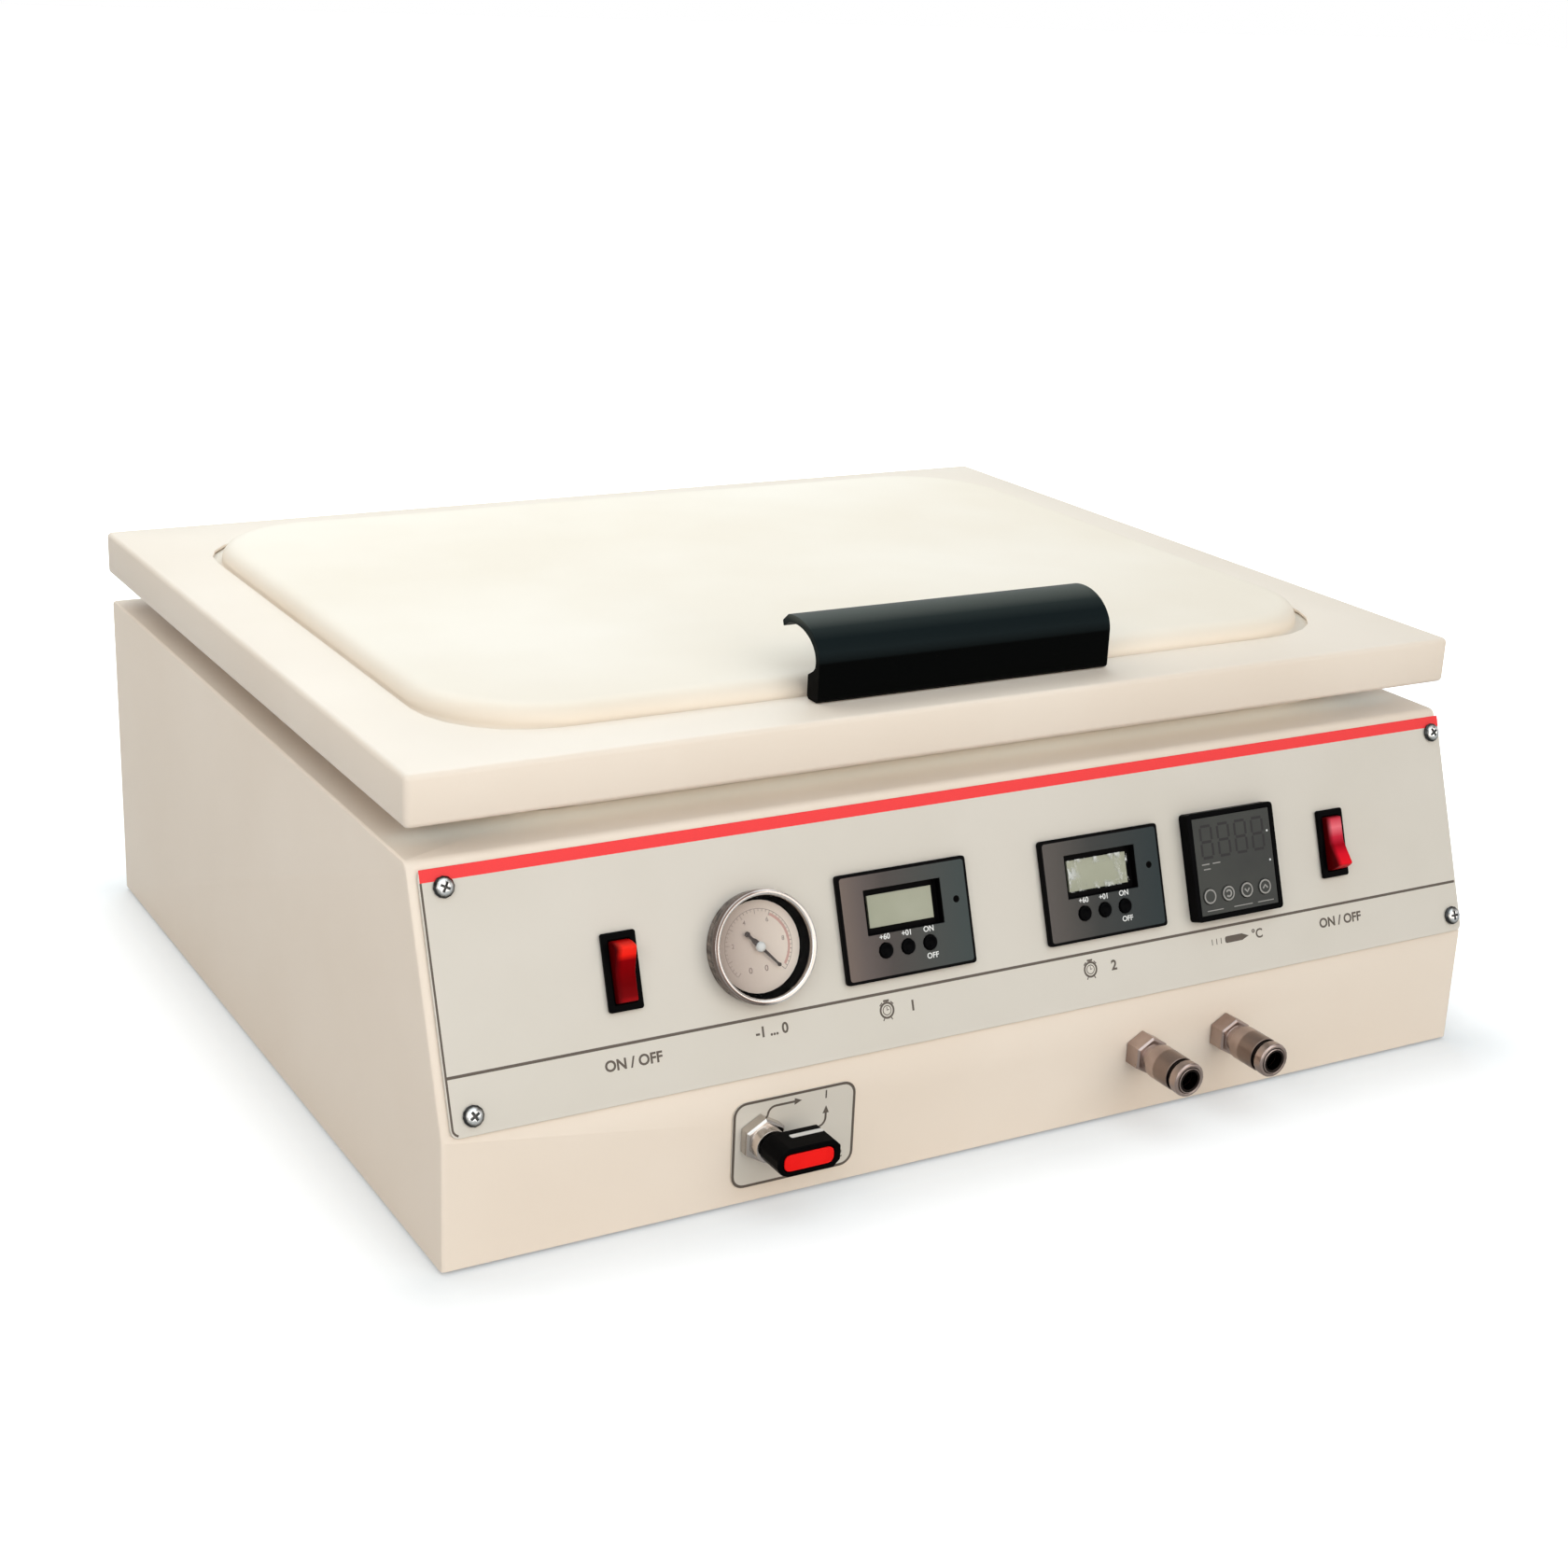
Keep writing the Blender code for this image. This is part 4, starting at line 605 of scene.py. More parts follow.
def metal(name, light, dark, roughness, grain=0.004, stretch=(1, 1, 1), depth=0.000004):
    """Plated or bare metal: faint clouds, and fine lines along the way that it is stretched."""
    paint = Paint(name, light, roughness, Metallic=1.0)
    clouds = paint.share(paint.noise(cloud_size, 3.0), *cloud_ends)
    lines = paint.noise(grain, 3.0, stretch)
    paint.base = paint.mix(clouds, dark, light)
    paint.feed(Base_Color=paint.base, Roughness=roughness + line_change * lines)
    paint.bump(lines, depth)
    return paint


def middle_of(node, place):
    """The middle of a CAD node in a face's frame."""
    low, high = extent(node, place)
    return (low + high) / 2


def bezel_chrome():
    """The gauge's chrome with painted reflections: dull brown down its side, its rim pale between
    two painted bright beads, its left unlike its right.
    """
    paint = metal("bezel_painted_reflections", (0.74, 0.70, 0.67, 1), (0.66, 0.61, 0.58, 1), 0.2)
    low, high = extent("gauge_case", slope)
    radius = (high.x - low.x) / 2
    centre = middle_of("gauge_case", slope)
    x = paint.on_face(slope, 0) - centre.x
    y = paint.on_face(slope, 1) - centre.y
    out = paint.share((x * x + y * y) ** 0.5, radius - bezel_band, radius)
    # painted reflections and highlights on the rim, one set on the left and one on the right
    rim = paint.mix(paint.share(x, -bezel_band, bezel_band), paint.ramp(out, bezel_left_reflection_stops),
                    paint.ramp(out, bezel_right_reflection_stops))
    streaks = paint.share(paint.noise(0.0018, 2.0, (0.2, 0.2, 1)), *patch_ends)
    side = paint.mix(streaks, (0.10, 0.07, 0.06, 1), (0.34, 0.28, 0.25, 1))
    rolled = paint.on_face(slope, 2) > high.z - bezel_depth
    paint.feed(Base_Color=paint.mix(rolled, side, rim))
    return paint


def screw_zinc():
    """Bright zinc, with painted shade round the head's edge and in the cross."""
    paint = metal("screw_plate", (0.80, 0.80, 0.79, 1), (0.62, 0.62, 0.62, 1), 0.2, 0.001)
    centres = [middle_of(f"fascia_screw_{number}", slope) for number in range(1, 5)]
    x, y = paint.off_centres(slope, centres)
    # painted shade: darker round the head's edge, black in the cross
    rim = paint.share((x * x + y * y) ** 0.5, screw_bright, screw_dark)
    face = paint.mix(rim, paint.base, (0.24, 0.23, 0.21, 1))
    top = extent("fascia_screw_1", slope)[1].z
    cross = paint.on_face(slope, 2) < top - screw_cross
    paint.feed(Base_Color=paint.mix(cross, face, (0.05, 0.05, 0.05, 1)))
    return paint


def nickel():
    """Brownish nickel; a coupler's grip is darker, and its groove and bore are painted black as
    shade.
    """
    paint = metal("nickel", (0.50, 0.40, 0.36, 1), (0.32, 0.24, 0.21, 1), 0.24, 0.002)
    centres = [middle_of(f"coupler_sleeve_{number}", plate_front) for number in (1, 2)]
    end = extent("coupler_sleeve_1", plate_front)[1].z
    x, y = paint.off_centres(plate_front, centres)
    out = (x * x + y * y) ** 0.5
    back = end - paint.on_face(plate_front, 2)
    band = paint.share(back, *grip_front) * paint.share(back, *grip_back)
    grip = paint.mix(band, paint.base, (0.25, 0.19, 0.165, 1))
    # painted shade: the groove and the bore's mouth are black
    groove_shade = (out < groove_radius) * (back > groove_front) * (back < groove_back)
    bore = (out < bore_radius) * (back < bore_depth)
    paint.feed(Base_Color=paint.mix(groove_shade.most(bore), grip, (0.03, 0.022, 0.019, 1)))
    return paint


def rocker_red():
    """Clear red plastic: bright at its thick end and deep over its hollow as painted highlight and
    shade, with painted shade along its left side.
    """
    paint = Paint("rocker_red", srgb(228, 20, 16), 0.3, Specular_IOR_Level=0.03)
    low, high = extent("pump_switch_rocker", slope)
    apart = extent("heat_switch_rocker", slope)[0].x - low.x
    x = paint.on_face(slope, 0)
    up = paint.share(paint.on_face(slope, 1), low.y, high.y)
    right = x > slope_width / 2
    # painted highlights and shade up each rocker, and painted shade along its left side
    shade = paint.mix(right, paint.ramp(up, pump_rocker_light_stops), paint.ramp(up, heat_rocker_light_stops))
    lit = paint.share(x - right * apart, low.x, low.x + rocker_shade)
    ribs = paint.noise(0.0016, 1.0, (1, 0.15, 0.15))
    paint.feed(Base_Color=paint.mix(lit, srgb(84, 0, 4), shade), Roughness=0.24 + 0.14 * ribs)
    return paint


def timer_case():
    """Satin black plastic with a painted sheen, brown to blue across each timer, and painted shade,
    black at its edge, round its display and in its well.
    """
    paint = Paint("timer_case", srgb(58, 54, 56), 0.42, Specular_IOR_Level=0.03)
    grain = paint.noise(0.0006, 2.0)
    pump, heat = middle_of("pump_timer_case", slope), middle_of("heat_timer_case", slope)
    low, high = extent("pump_timer_case", slope)
    half = (high - low) / 2
    x = paint.on_face(slope, 0)
    later = x > (pump.x + heat.x) / 2
    # painted reflection: the sheen leans from brown to blue across each timer
    sheen_lean = (paint.share(x, pump.x - half.x, pump.x + half.x) - later
            + paint.share(x, heat.x - half.x, heat.x + half.x))
    face = paint.mix(later, paint.ramp(sheen_lean, pump_case_sheen_stops), paint.ramp(sheen_lean, heat_case_sheen_stops))
    # painted shade: black along the edge, in a frame round the display and in the well
    edge = paint.off_block(slope, (pump, heat), half, timer_corner) > timer_corner - timer_border
    panes = [middle_of(f"{name}_timer_display", slope) for name in ("pump", "heat")]
    low, high = extent("pump_timer_display", slope)
    frame_half = (high - low) / 2 + Vector((timer_frame, timer_frame, 0))
    frame_shade = paint.off_block(slope, panes, frame_half, timer_frame_corner) < timer_frame_corner
    well_shade = paint.on_face(slope, 2) < extent("pump_timer_case", slope)[1].z - timer_well
    painted_shade = edge.most(well_shade).most(frame_shade)
    paint.feed(Base_Color=paint.mix(painted_shade, face, srgb(7, 6, 7)), Roughness=0.38 + 0.12 * grain)
    paint.bump(grain, 0.000012)
    return paint


def handle_black():
    """Black anodised aluminium with drawing lines along the handle and a painted sheen that pales
    up to the crest.
    """
    paint = Paint("handle_black", srgb(6, 8, 9), 0.36, Specular_IOR_Level=0.02)
    lines = paint.noise(0.0007, 3.0, (0.02, 1, 1))
    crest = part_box("lid_handle")[1].z
    # painted sheen: paler towards the crest
    up = paint.share(paint.axis(2), crest - handle_curve, crest)
    paint.feed(Base_Color=paint.ramp(up, handle_sheen_stops), Roughness=0.34 + 0.14 * lines)
    paint.bump(lines, 0.000006)
    return paint


def display_glass():
    """A liquid crystal pane: grey-green with a faint cloud and a satin front."""
    paint = Paint("display_pane", srgb(158, 159, 139), 0.3, Coat_Weight=0.1)
    cloud = paint.share(paint.noise(cloud_size, 2.0), *cloud_ends)
    paint.feed(Base_Color=paint.mix(cloud, srgb(152, 154, 132), srgb(164, 165, 145)),
               Roughness=0.28 + 0.1 * cloud)
    return paint


def clear_lens():
    """The gauge's clear front."""
    paint = Paint("lens_clear", srgb(12, 12, 12), 0.04, Alpha=0.04, Specular_IOR_Level=0.3)
    haze = paint.noise(0.01, 2.0)
    paint.feed(Roughness=0.03 + 0.04 * haze)
    return paint


def display_film():
    """A crinkled protective film: clear in its middle, pale in its creases as painted glints."""
    paint = Paint("film_painted_glints", srgb(226, 228, 224), 0.18, Coat_Weight=0.6)
    creases = paint.noise(film_crease, 3.0, (1, 0.6, 0.6), 0.65)
    low, high = extent("heat_timer_display", slope)
    middle = (low + high) / 2
    across = abs(paint.on_face(slope, 0) - middle.x) * (2 / (high.x - low.x))
    up = abs(paint.on_face(slope, 1) - middle.y) * (2 / (high.y - low.y))
    edge = paint.share(across.most(up), *film_edge_ends)
    # the film is real; its pale creases are painted glints
    paint.feed(Alpha=paint.share(creases, *film_crease_ends) * edge * 0.9,
               Roughness=0.14 + 0.3 * creases)
    paint.bump(creases, 0.0004)
    return paint


def dial_enamel():
    """The dial's pinkish enamel, with painted shade that darkens it at the left under the rim."""
    paint = coat("dial_face", (214, 200, 193), (205, 190, 183), 0.5, 0.001, 0.000004, 0.012)
    low, high = extent("gauge_dial", slope)
    # painted shade of the rim: darker at the left, lighter at the right
    across = paint.share(paint.on_face(slope, 0), low.x, high.x)
    paint.feed(Base_Color=paint.mix(across, srgb(184, 164, 153), srgb(250, 236, 223)))
    return paint


def ink(name, colour, roughness=0.5, **constants):
    """Printing ink of an sRGB colour: nearly even, with a slight speckle."""
    colour = srgb(*colour)
    paint = Paint(name, colour, roughness, **constants)
    speckle = paint.noise(0.0004, 2.0)
    lighter = tuple(min(1.0, value * 1.12 + 0.004) for value in colour[:3]) + (1.0,)
    paint.feed(Base_Color=paint.mix(speckle, colour, lighter), Roughness=roughness + 0.1 * speckle)
    return paint


finishes = {
    "cream_powder_coat": coat("powder_coat", (243, 229, 214), (239, 224, 208), 0.40),
    "cream_silicone": coat("silicone", (247, 236, 222), (241, 228, 211), 0.52,
                           0.0016, 0.00002, 0.16),
    "fascia_film": coat("fascia_film_finish", (218, 211, 201), (213, 206, 195), 0.42,
                        0.0005, 0.000008, 0.09),
    "black_plastic": coat("black_moulding", (7, 7, 8), (4, 4, 5), 0.34,
                          0.0006, 0.00001, 0.02, Specular_IOR_Level=0.02),
    "timer_plastic": timer_case(),
    "dark_window": coat("smoked_window", (66, 67, 64), (58, 59, 58), 0.3,
                        0.003, 0.000002, 0.03, Specular_IOR_Level=0.15),
    "black_anodised": handle_black(),
    "red_rocker": rocker_red(),
    "red_insert": coat("insert_red", (252, 26, 22), (244, 20, 18), 0.42,
                       0.0005, 0.00001, 0.01, Specular_IOR_Level=0.12),
    "chrome_plate": metal("chrome", (0.62, 0.57, 0.53, 1), (0.40, 0.36, 0.33, 1), 0.12),
    "bezel_chrome": bezel_chrome(),
    "screw_zinc": screw_zinc(),
    "nickel_plate": nickel(),
    "bright_steel": metal("zinc_steel", (0.68, 0.68, 0.68, 1), (0.55, 0.55, 0.56, 1), 0.28, 0.002,
                          (0.1, 1, 1)),
    "bare_aluminium": metal("mill_aluminium", (0.76, 0.77, 0.78, 1), (0.66, 0.67, 0.68, 1), 0.32,
                            0.0015, (0.05, 1, 1)),
    "dial_enamel": dial_enamel(),
    "pointer_paint": coat("pointer_black", (62, 50, 48), (52, 42, 40), 0.4, 0.0006),
    "clear_lens": clear_lens(),
    "display_glass": display_glass(),
    "seal_rubber": coat("seal_rubber_finish", (214, 208, 198), (200, 194, 184), 0.6,
                        0.0012, 0.00006, 0.03),
    "foot_rubber": coat("foot_rubber_finish", (34, 34, 34), (26, 26, 26), 0.7,
                        0.0009, 0.00006, 0.01),
    "heater_silicone": coat("heater_mat_finish", (186, 84, 44), (170, 72, 36), 0.55,
                            0.0016, 0.0001, 0.05),
    "pump_paint": coat("pump_enamel", (74, 78, 84), (64, 68, 74), 0.4, 0.002, 0.00005),
    "hose_silicone": coat("hose_skin", (220, 220, 212), (206, 206, 198), 0.35, 0.002),
    "dark_ink": ink("dark_print", (88, 77, 68)),
    "red_ink": ink("red_print", (244, 64, 66), 0.42, Specular_IOR_Level=0.2),
    "pale_red_ink": ink("pale_red_print", (206, 164, 154)),
    # painted highlight for the lever's top edge
    "highlight_strip": ink("painted_highlight", (222, 218, 213), 0.3),
    "white_ink": ink("white_print", (226, 226, 224)),
    "dim_ink": ink("unlit_segment", (44, 42, 43), 0.3, Specular_IOR_Level=0.15),
    "key_ink": ink("key_print", (146, 143, 139)),
    "scale_ink": ink("scale_print", (150, 132, 124)),
    # painted shade: black for the gauge's bore and the sounder's hole
    "shadow_plastic": ink("well_black", (5, 4, 4), 0.6, Specular_IOR_Level=0.0),
    "film": display_film(),
}
for name, node in nodes.items():
    node.data.materials[0] = finishes[slot_of[name]].material


def to_mesh(bm, name):
    """A mesh whose faces point out."""
    bmesh.ops.recalc_face_normals(bm, faces=bm.faces)
    mesh = bpy.data.meshes.new(name)
    bm.to_mesh(mesh)
    bm.free()
    return mesh


def add_piece(name, mesh, finish, like, place=None, instead_of=(), easing=0.0, segments=3,
              sharp=bend_angle):
    """A piece in its place, which rides with the CAD node that it is like."""
    if place is not None:
        mesh.transform(place)
    piece = bpy.data.objects.new(name, mesh)
    bpy.context.scene.collection.objects.link(piece)
    mesh.materials.clear()
    mesh.materials.append(finishes[finish].material)
    mesh.shade_smooth()
    mesh.set_sharp_from_angle(angle=sharp)
    if easing:
        edge = piece.modifiers.new("eased_edges", "BEVEL")
        edge.width = easing
        edge.segments = segments
        edge.limit_method = "ANGLE"
        edge.angle_limit = sharp
        edge.harden_normals = True
        edge.use_clamp_overlap = True
    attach(piece, body_of[like])
    if instead_of:
        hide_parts(*instead_of)
    return piece


def dress(*names, finish=None):
    """Finer copies of CAD nodes: merged, their bends smooth and their edges eased."""
    for node in names:
        stem, _, last = node.rpartition("_")
        kind = stem if last.isdigit() or last in ("left", "right") else node
        easing, segments, bend = dressings[kind]
        bm = bmesh.new()
        bm.from_mesh(nodes[node].data)
        bmesh.ops.remove_doubles(bm, verts=bm.verts, dist=weld)
        bmesh.ops.dissolve_limit(bm, angle_limit=flat_angle, verts=bm.verts, edges=bm.edges,
                                 delimit={"NORMAL"})
        add_piece(f"{node}_fine", to_mesh(bm, node), finish or slot_of[node], node,
                  instead_of=[node], easing=easing, segments=segments, sharp=math.radians(bend))


def turned(profile, steps):
    """A turned mesh: the profile's points are radius and height."""
    bm = bmesh.new()
    corners = [bm.verts.new((radius, 0, height)) for radius, height in profile]
    edges = [bm.edges.new(pair) for pair in zip(corners, corners[1:])]
    bmesh.ops.spin(bm, geom=corners + edges, cent=(0, 0, 0), axis=(0, 0, 1), angle=math.tau,
                   steps=steps, use_merge=True)
    bmesh.ops.remove_doubles(bm, verts=bm.verts, dist=weld)
    return to_mesh(bm, "turned")


def polar(radius, angle):
    """A spot at a radius and an angle."""
    return radius * math.cos(angle), radius * math.sin(angle)


def arc(centre, radius, start, end, steps=8):
    """Points along an arc, both ends included."""
    angles = [start + (end - start) * step / steps for step in range(steps + 1)]
    return [(centre[0] + radius * math.cos(angle), centre[1] + radius * math.sin(angle))
            for angle in angles]


def baked(data):
    """The mesh of a curve or a text."""
    holder = bpy.data.objects.new(data.name, data)
    bpy.context.scene.collection.objects.link(holder)
    evaluated = holder.evaluated_get(bpy.context.evaluated_depsgraph_get())
    mesh = bpy.data.meshes.new_from_object(evaluated)
    bpy.data.objects.remove(holder)
    bpy.data.curves.remove(data)
    return mesh


def poly_curve(loop, closed=True):
    """A curve of straight runs through the loop's points."""
    curve = bpy.data.curves.new("outline", "CURVE")
    spline = curve.splines.new("POLY")
    spline.points.add(len(loop) - 1)
    for point, (x, y) in zip(spline.points, loop):
        point.co = (x, y, 0, 1)
    spline.use_cyclic_u = closed
    return curve


def blade(loop, half_height):
    """A flat plate with the loop's outline, half of it on each side of its plane."""
    curve = poly_curve(loop)
    curve.dimensions = "2D"
    curve.fill_mode = "BOTH"
    curve.extrude = half_height
    return baked(curve)


class Marks:
    """Printed marks of one ink on one face, a little proud of what carries them."""

    def __init__(self, name, place, finish, like):
        self.name = name
        self.place = place
        self.finish = finish
        self.like = like
        self.bm = bmesh.new()

    def add(self, mesh, spot, turn=0.0, size=(1, 1, 1)):
        """A mesh laid on the face at a spot."""
        shape = Matrix.Translation((spot[0], spot[1], 0)) @ Matrix.Rotation(turn, 4, "Z")
        mesh.transform(shape @ Matrix.Diagonal((*size, 1)))
        self.bm.from_mesh(mesh)
        bpy.data.meshes.remove(mesh)

    def bar(self, spot, width, height, turn=0.0):
        """A filled rectangle about a spot."""
        bm = bmesh.new()
        bmesh.ops.create_cube(bm, size=1)
        bmesh.ops.translate(bm, verts=bm.verts, vec=(0, 0, 0.5 - ink_sunk / ink_height))
        self.add(to_mesh(bm, "bar"), spot, turn, (width, height, ink_height))

    def stroke(self, points, width, closed=False, spot=(0, 0)):
        """A line of even width through the points."""
        curve = poly_curve(points, closed)
        curve.dimensions = "3D"
        curve.bevel_depth = width / 2
        curve.bevel_resolution = 2
        curve.use_fill_caps = True
        self.add(baked(curve), spot, 0.0, (1, 1, ink_height / width * 2))

    def ring(self, spot, radius, width):
        self.stroke(arc((0, 0), radius, 0, math.tau, ring_steps)[:-1], width, True, spot)

    def disc(self, spot, radius):
        self.ring(spot, radius / 2, radius)

    def fill(self, points, spot=(0, 0)):
        """A filled outline."""
        self.add(blade(points, ink_height), spot)

    def text(self, words, spot, height, weight=0.02):
        """Words of a given height, centred on a spot."""
        letters = bpy.data.curves.new("letters", "FONT")
        letters.body = words
        letters.offset = weight
        letters.extrude = 1
        letters.align_x = "CENTER"
        letters.align_y = "CENTER"
        mesh = baked(letters)
        tall = [corner.co.y for corner in mesh.vertices]
        size = height / (max(tall) - min(tall))
        middle = (max(tall) + min(tall)) / 2
        mesh.transform(Matrix.Translation((0, -middle, 0)))
        self.add(mesh, spot, 0.0, (size, size, ink_height))

    def done(self):
        bmesh.ops.remove_doubles(self.bm, verts=self.bm.verts, dist=weld / 4)
        add_piece(self.name, to_mesh(self.bm, self.name), self.finish, self.like, self.place)


def rounded(width, height, radius, centre=(0, 0)):
    """The outline of a rectangle with round corners."""
    across, up = width / 2 - radius, height / 2 - radius
    points = []
    for quarter, (x, y) in enumerate(((across, up), (-across, up), (-across, -up), (across, -up))):
        start = quarter * math.pi / 2
        points += arc((centre[0] + x, centre[1] + y), radius, start, start + math.pi / 2,
                      corner_steps)
    return points


def ring_spot(column, row, across, deep, radius):
    """Carries a spot of a square ring, from -1 to 1 both ways, onto a round-cornered ring."""
    def along(share, half):
        straight = half - radius
        reach = abs(share) * half
        if reach <= straight or radius <= 0:
            return share * half, 0.0
        turn = (reach - straight) / radius * math.pi / 4
        dip = radius * (1 - math.cos(turn))
        return math.copysign(straight + radius * math.sin(turn), share), dip
    if abs(column) >= abs(row):
        y, dip = along(row / max(abs(column), weld), deep)
        return math.copysign(across - dip, column), y
    x, dip = along(column / max(abs(row), weld), across)
    return x, math.copysign(deep - dip, row)


def crease_dip(x, y):
    """How far the crease across the pillow pulls a spot down."""
    spot = Vector((x, y))
    nearest = 1.0
    for start, end in zip(crease_points, crease_points[1:]):
        start, end = Vector(start), Vector(end)
        run = end - start
        share = min(1.0, max(0.0, (spot - start).dot(run) / run.length_squared))
        nearest = min(nearest, (spot - start - run * share).length)
    return crease_depth * math.exp(-((nearest / crease_width) ** 2))


def make_membrane():
    """The silicone pillow: its edge lies clamped under the frame, its middle stands up."""
    low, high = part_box("lid_frame")
    centre = (low + high) / 2
    across = (high.x - low.x) / 2 - lid_border
    deep = (high.y - low.y) / 2 - lid_border
    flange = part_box("membrane")[0].z + membrane_thickness
    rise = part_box("membrane")[1].z - flange
    levels = [(place, 0.0) for place in flange_places]
    for step in range(shoulder_steps + 1):
        angle = math.pi / 2 * step / shoulder_steps
        inward = 1 - math.cos(angle) ** (2 / shoulder_power)
        up = math.sin(angle) ** (2 / shoulder_power)
        levels.append((-membrane_slack - shoulder_width * inward, rise * shoulder_share * up))
    inner = levels[-1][0]
    for step in range(1, top_steps + 1):
        share = step / top_steps
        crown = math.sin(share * math.pi / 2) ** crown_power
        levels.append((inner - (deep + inner) * share,
                       rise * (shoulder_share + (1 - shoulder_share) * crown)))
    count = len(levels) - 1
    bm = bmesh.new()
    bmesh.ops.create_grid(bm, x_segments=count * 2, y_segments=count * 2, size=1.0)
    for corner in bm.verts:
        column, row = corner.co.x, corner.co.y
        ring = max(abs(column), abs(row))
        grow, height = levels[round((1 - ring) * count)]
        if ring < weld:
            x = y = 0.0
        else:
            shrink, wide = 1.0, across + grow
            if grow < inner:
                shrink = max(0.0, min(1.0, 1 - (inner - grow) / (deep + inner)))
                wide = (across - deep) * shrink + deep + grow
            ease = corner_ease if grow < 0 else 0.0
            radius = (opening_radius + max(grow, inner) + ease) * shrink
            x, y = ring_spot(column / ring, row / ring, wide, deep + grow, radius)
        top = min(1.0, max(0.0, (-grow - membrane_slack) / shoulder_width))
        x, y = x + centre.x, y + centre.y
        wave = noise.noise(Vector((x, y, 0)) / ripple_size) - 0.5
        corner.co = (x, y, flange + height + top * (ripple_height * wave - crease_dip(x, y)))
    mesh = to_mesh(bm, "membrane_pillow")
    for face in mesh.polygons:
        if face.normal.z < -0.5:
            mesh.flip_normals()
            break
    pillow = add_piece("membrane_pillow", mesh, "cream_silicone", "membrane",
                       instead_of=["membrane"], sharp=math.pi)
    wall = pillow.modifiers.new("sheet", "SOLIDIFY")
    wall.thickness = membrane_thickness
    wall.offset = -1


def handle_section():
    """The handle's section: how far back from its front face, and how far up from its foot."""
    curve = handle_height - handle_front_height
    outer = handle_reach * handle_arc_share
    inner = outer - handle_wall
    points = [(handle_foot_chamfer, 0), (0, handle_foot_chamfer)]
    for step in range(handle_steps + 1):
        angle = math.pi - handle_outer_turn * step / handle_steps
        points.append((outer * (1 + math.cos(angle)),
                       handle_front_height + curve * math.sin(angle)))
    lip = points[-1][1] - handle_lip_drop
    points += [(handle_reach, lip),
               (handle_reach - handle_wall * handle_lip_in, lip - handle_wall * handle_lip_down)]
    for step in range(handle_steps + 1):
        angle = math.pi - handle_outer_turn + handle_inner_turn * step / handle_steps
        points.append((handle_wall + inner * (1 + math.cos(angle)),
                       handle_front_height + (curve - handle_wall) * math.sin(angle)))
    foot, rise = handle_foot_depth, handle_foot_height
    points += [(handle_wall + (foot - handle_wall) * handle_step_share, rise + handle_foot_chamfer),
               (foot, rise - handle_foot_chamfer), (foot, handle_foot_chamfer),
               (foot - handle_foot_chamfer, 0)]
    return points


def make_handle():
    """The extruded black handle, its hooked section finely stepped."""
    low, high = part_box("lid_handle")
    bm = bmesh.new()
    corners = [bm.verts.new((low.x, low.y + back, low.z + up)) for back, up in handle_section()]
    end = bm.faces.new(corners)
    swept = bmesh.ops.extrude_face_region(bm, geom=[end])["geom"]
    bmesh.ops.translate(bm, verts=[part for part in swept if isinstance(part, bmesh.types.BMVert)],
                        vec=(high.x - low.x, 0, 0))
    add_piece("lid_handle_fine", to_mesh(bm, "lid_handle"), "black_anodised", "lid_handle",
              instead_of=["lid_handle"], easing=handle_easing, sharp=handle_bend_angle)


def make_gauge():
    """The gauge: rolled bezel, a black liner as painted shade inside it, dial print, pointer and
    clear front.
    """
    low, high = extent("gauge_case", slope)
    radius = (high.x - low.x) / 2
    top, back = high.z, low.z
    centre = slope @ Matrix.Translation(((low.x + high.x) / 2, (low.y + high.y) / 2, 0))
    dial_low, dial_high = extent("gauge_dial", slope)
    dial_radius = (dial_high.x - dial_low.x) / 2
    bore = radius - gauge_wall
    roll = gauge_roll
    neck = radius - gauge_waist
    barrel = dial_radius + barrel_margin
    stem_end = back + stem_length
    profile = [(bore, dial_low.z), (bore, top - roll)]
    profile += reversed(arc((bore + roll, top - roll), roll, math.pi / 2, math.pi))
    profile += reversed(arc((radius - roll, top - roll), roll, 0, math.pi / 2))
    profile += [(radius, top - gauge_side_drop), (radius - gauge_step_in, top - gauge_step_drop),
                (neck, top - gauge_neck_drop), (neck, gauge_neck_foot), (barrel, barrel_top),
                (barrel, stem_end), (stem_radius, stem_end), (stem_radius, back), (0, back)]
    add_piece("gauge_bezel", turned(profile, gauge_steps), "bezel_chrome", "gauge_case", centre,
              ["gauge_case"])
    # painted shade: a black liner stands for the shade inside the bore
    wall = bore - liner_play
    glass_top = top - gauge_lens_drop
    lip, foot = (wall, glass_top - liner_drop), dial_high.z - liner_play
    liner = [lip, (wall - liner_lip, glass_top - liner_lip_drop),
             (dial_radius + liner_dial_margin, foot), (wall, foot), lip]
    add_piece("gauge_shade_liner", turned(liner, gauge_steps), "shadow_plastic", "gauge_case", centre)
    edge, foot = wall - glass_play, glass_top - glass_thickness
    glass = [(0, glass_top + gauge_lens_crown)]
    glass += [(wall * share, glass_top + gauge_lens_crown * (1 - share ** 2))
              for share in glass_shares]
    glass += [(edge, glass_top), (edge, foot), (0, foot)]
    add_piece("gauge_glass", turned(glass, gauge_steps), "clear_lens", "gauge_case", centre,
              ["gauge_lens"])
    make_dial_print(centre @ Matrix.Translation((0, 0, dial_high.z)))
    make_pointer(centre)


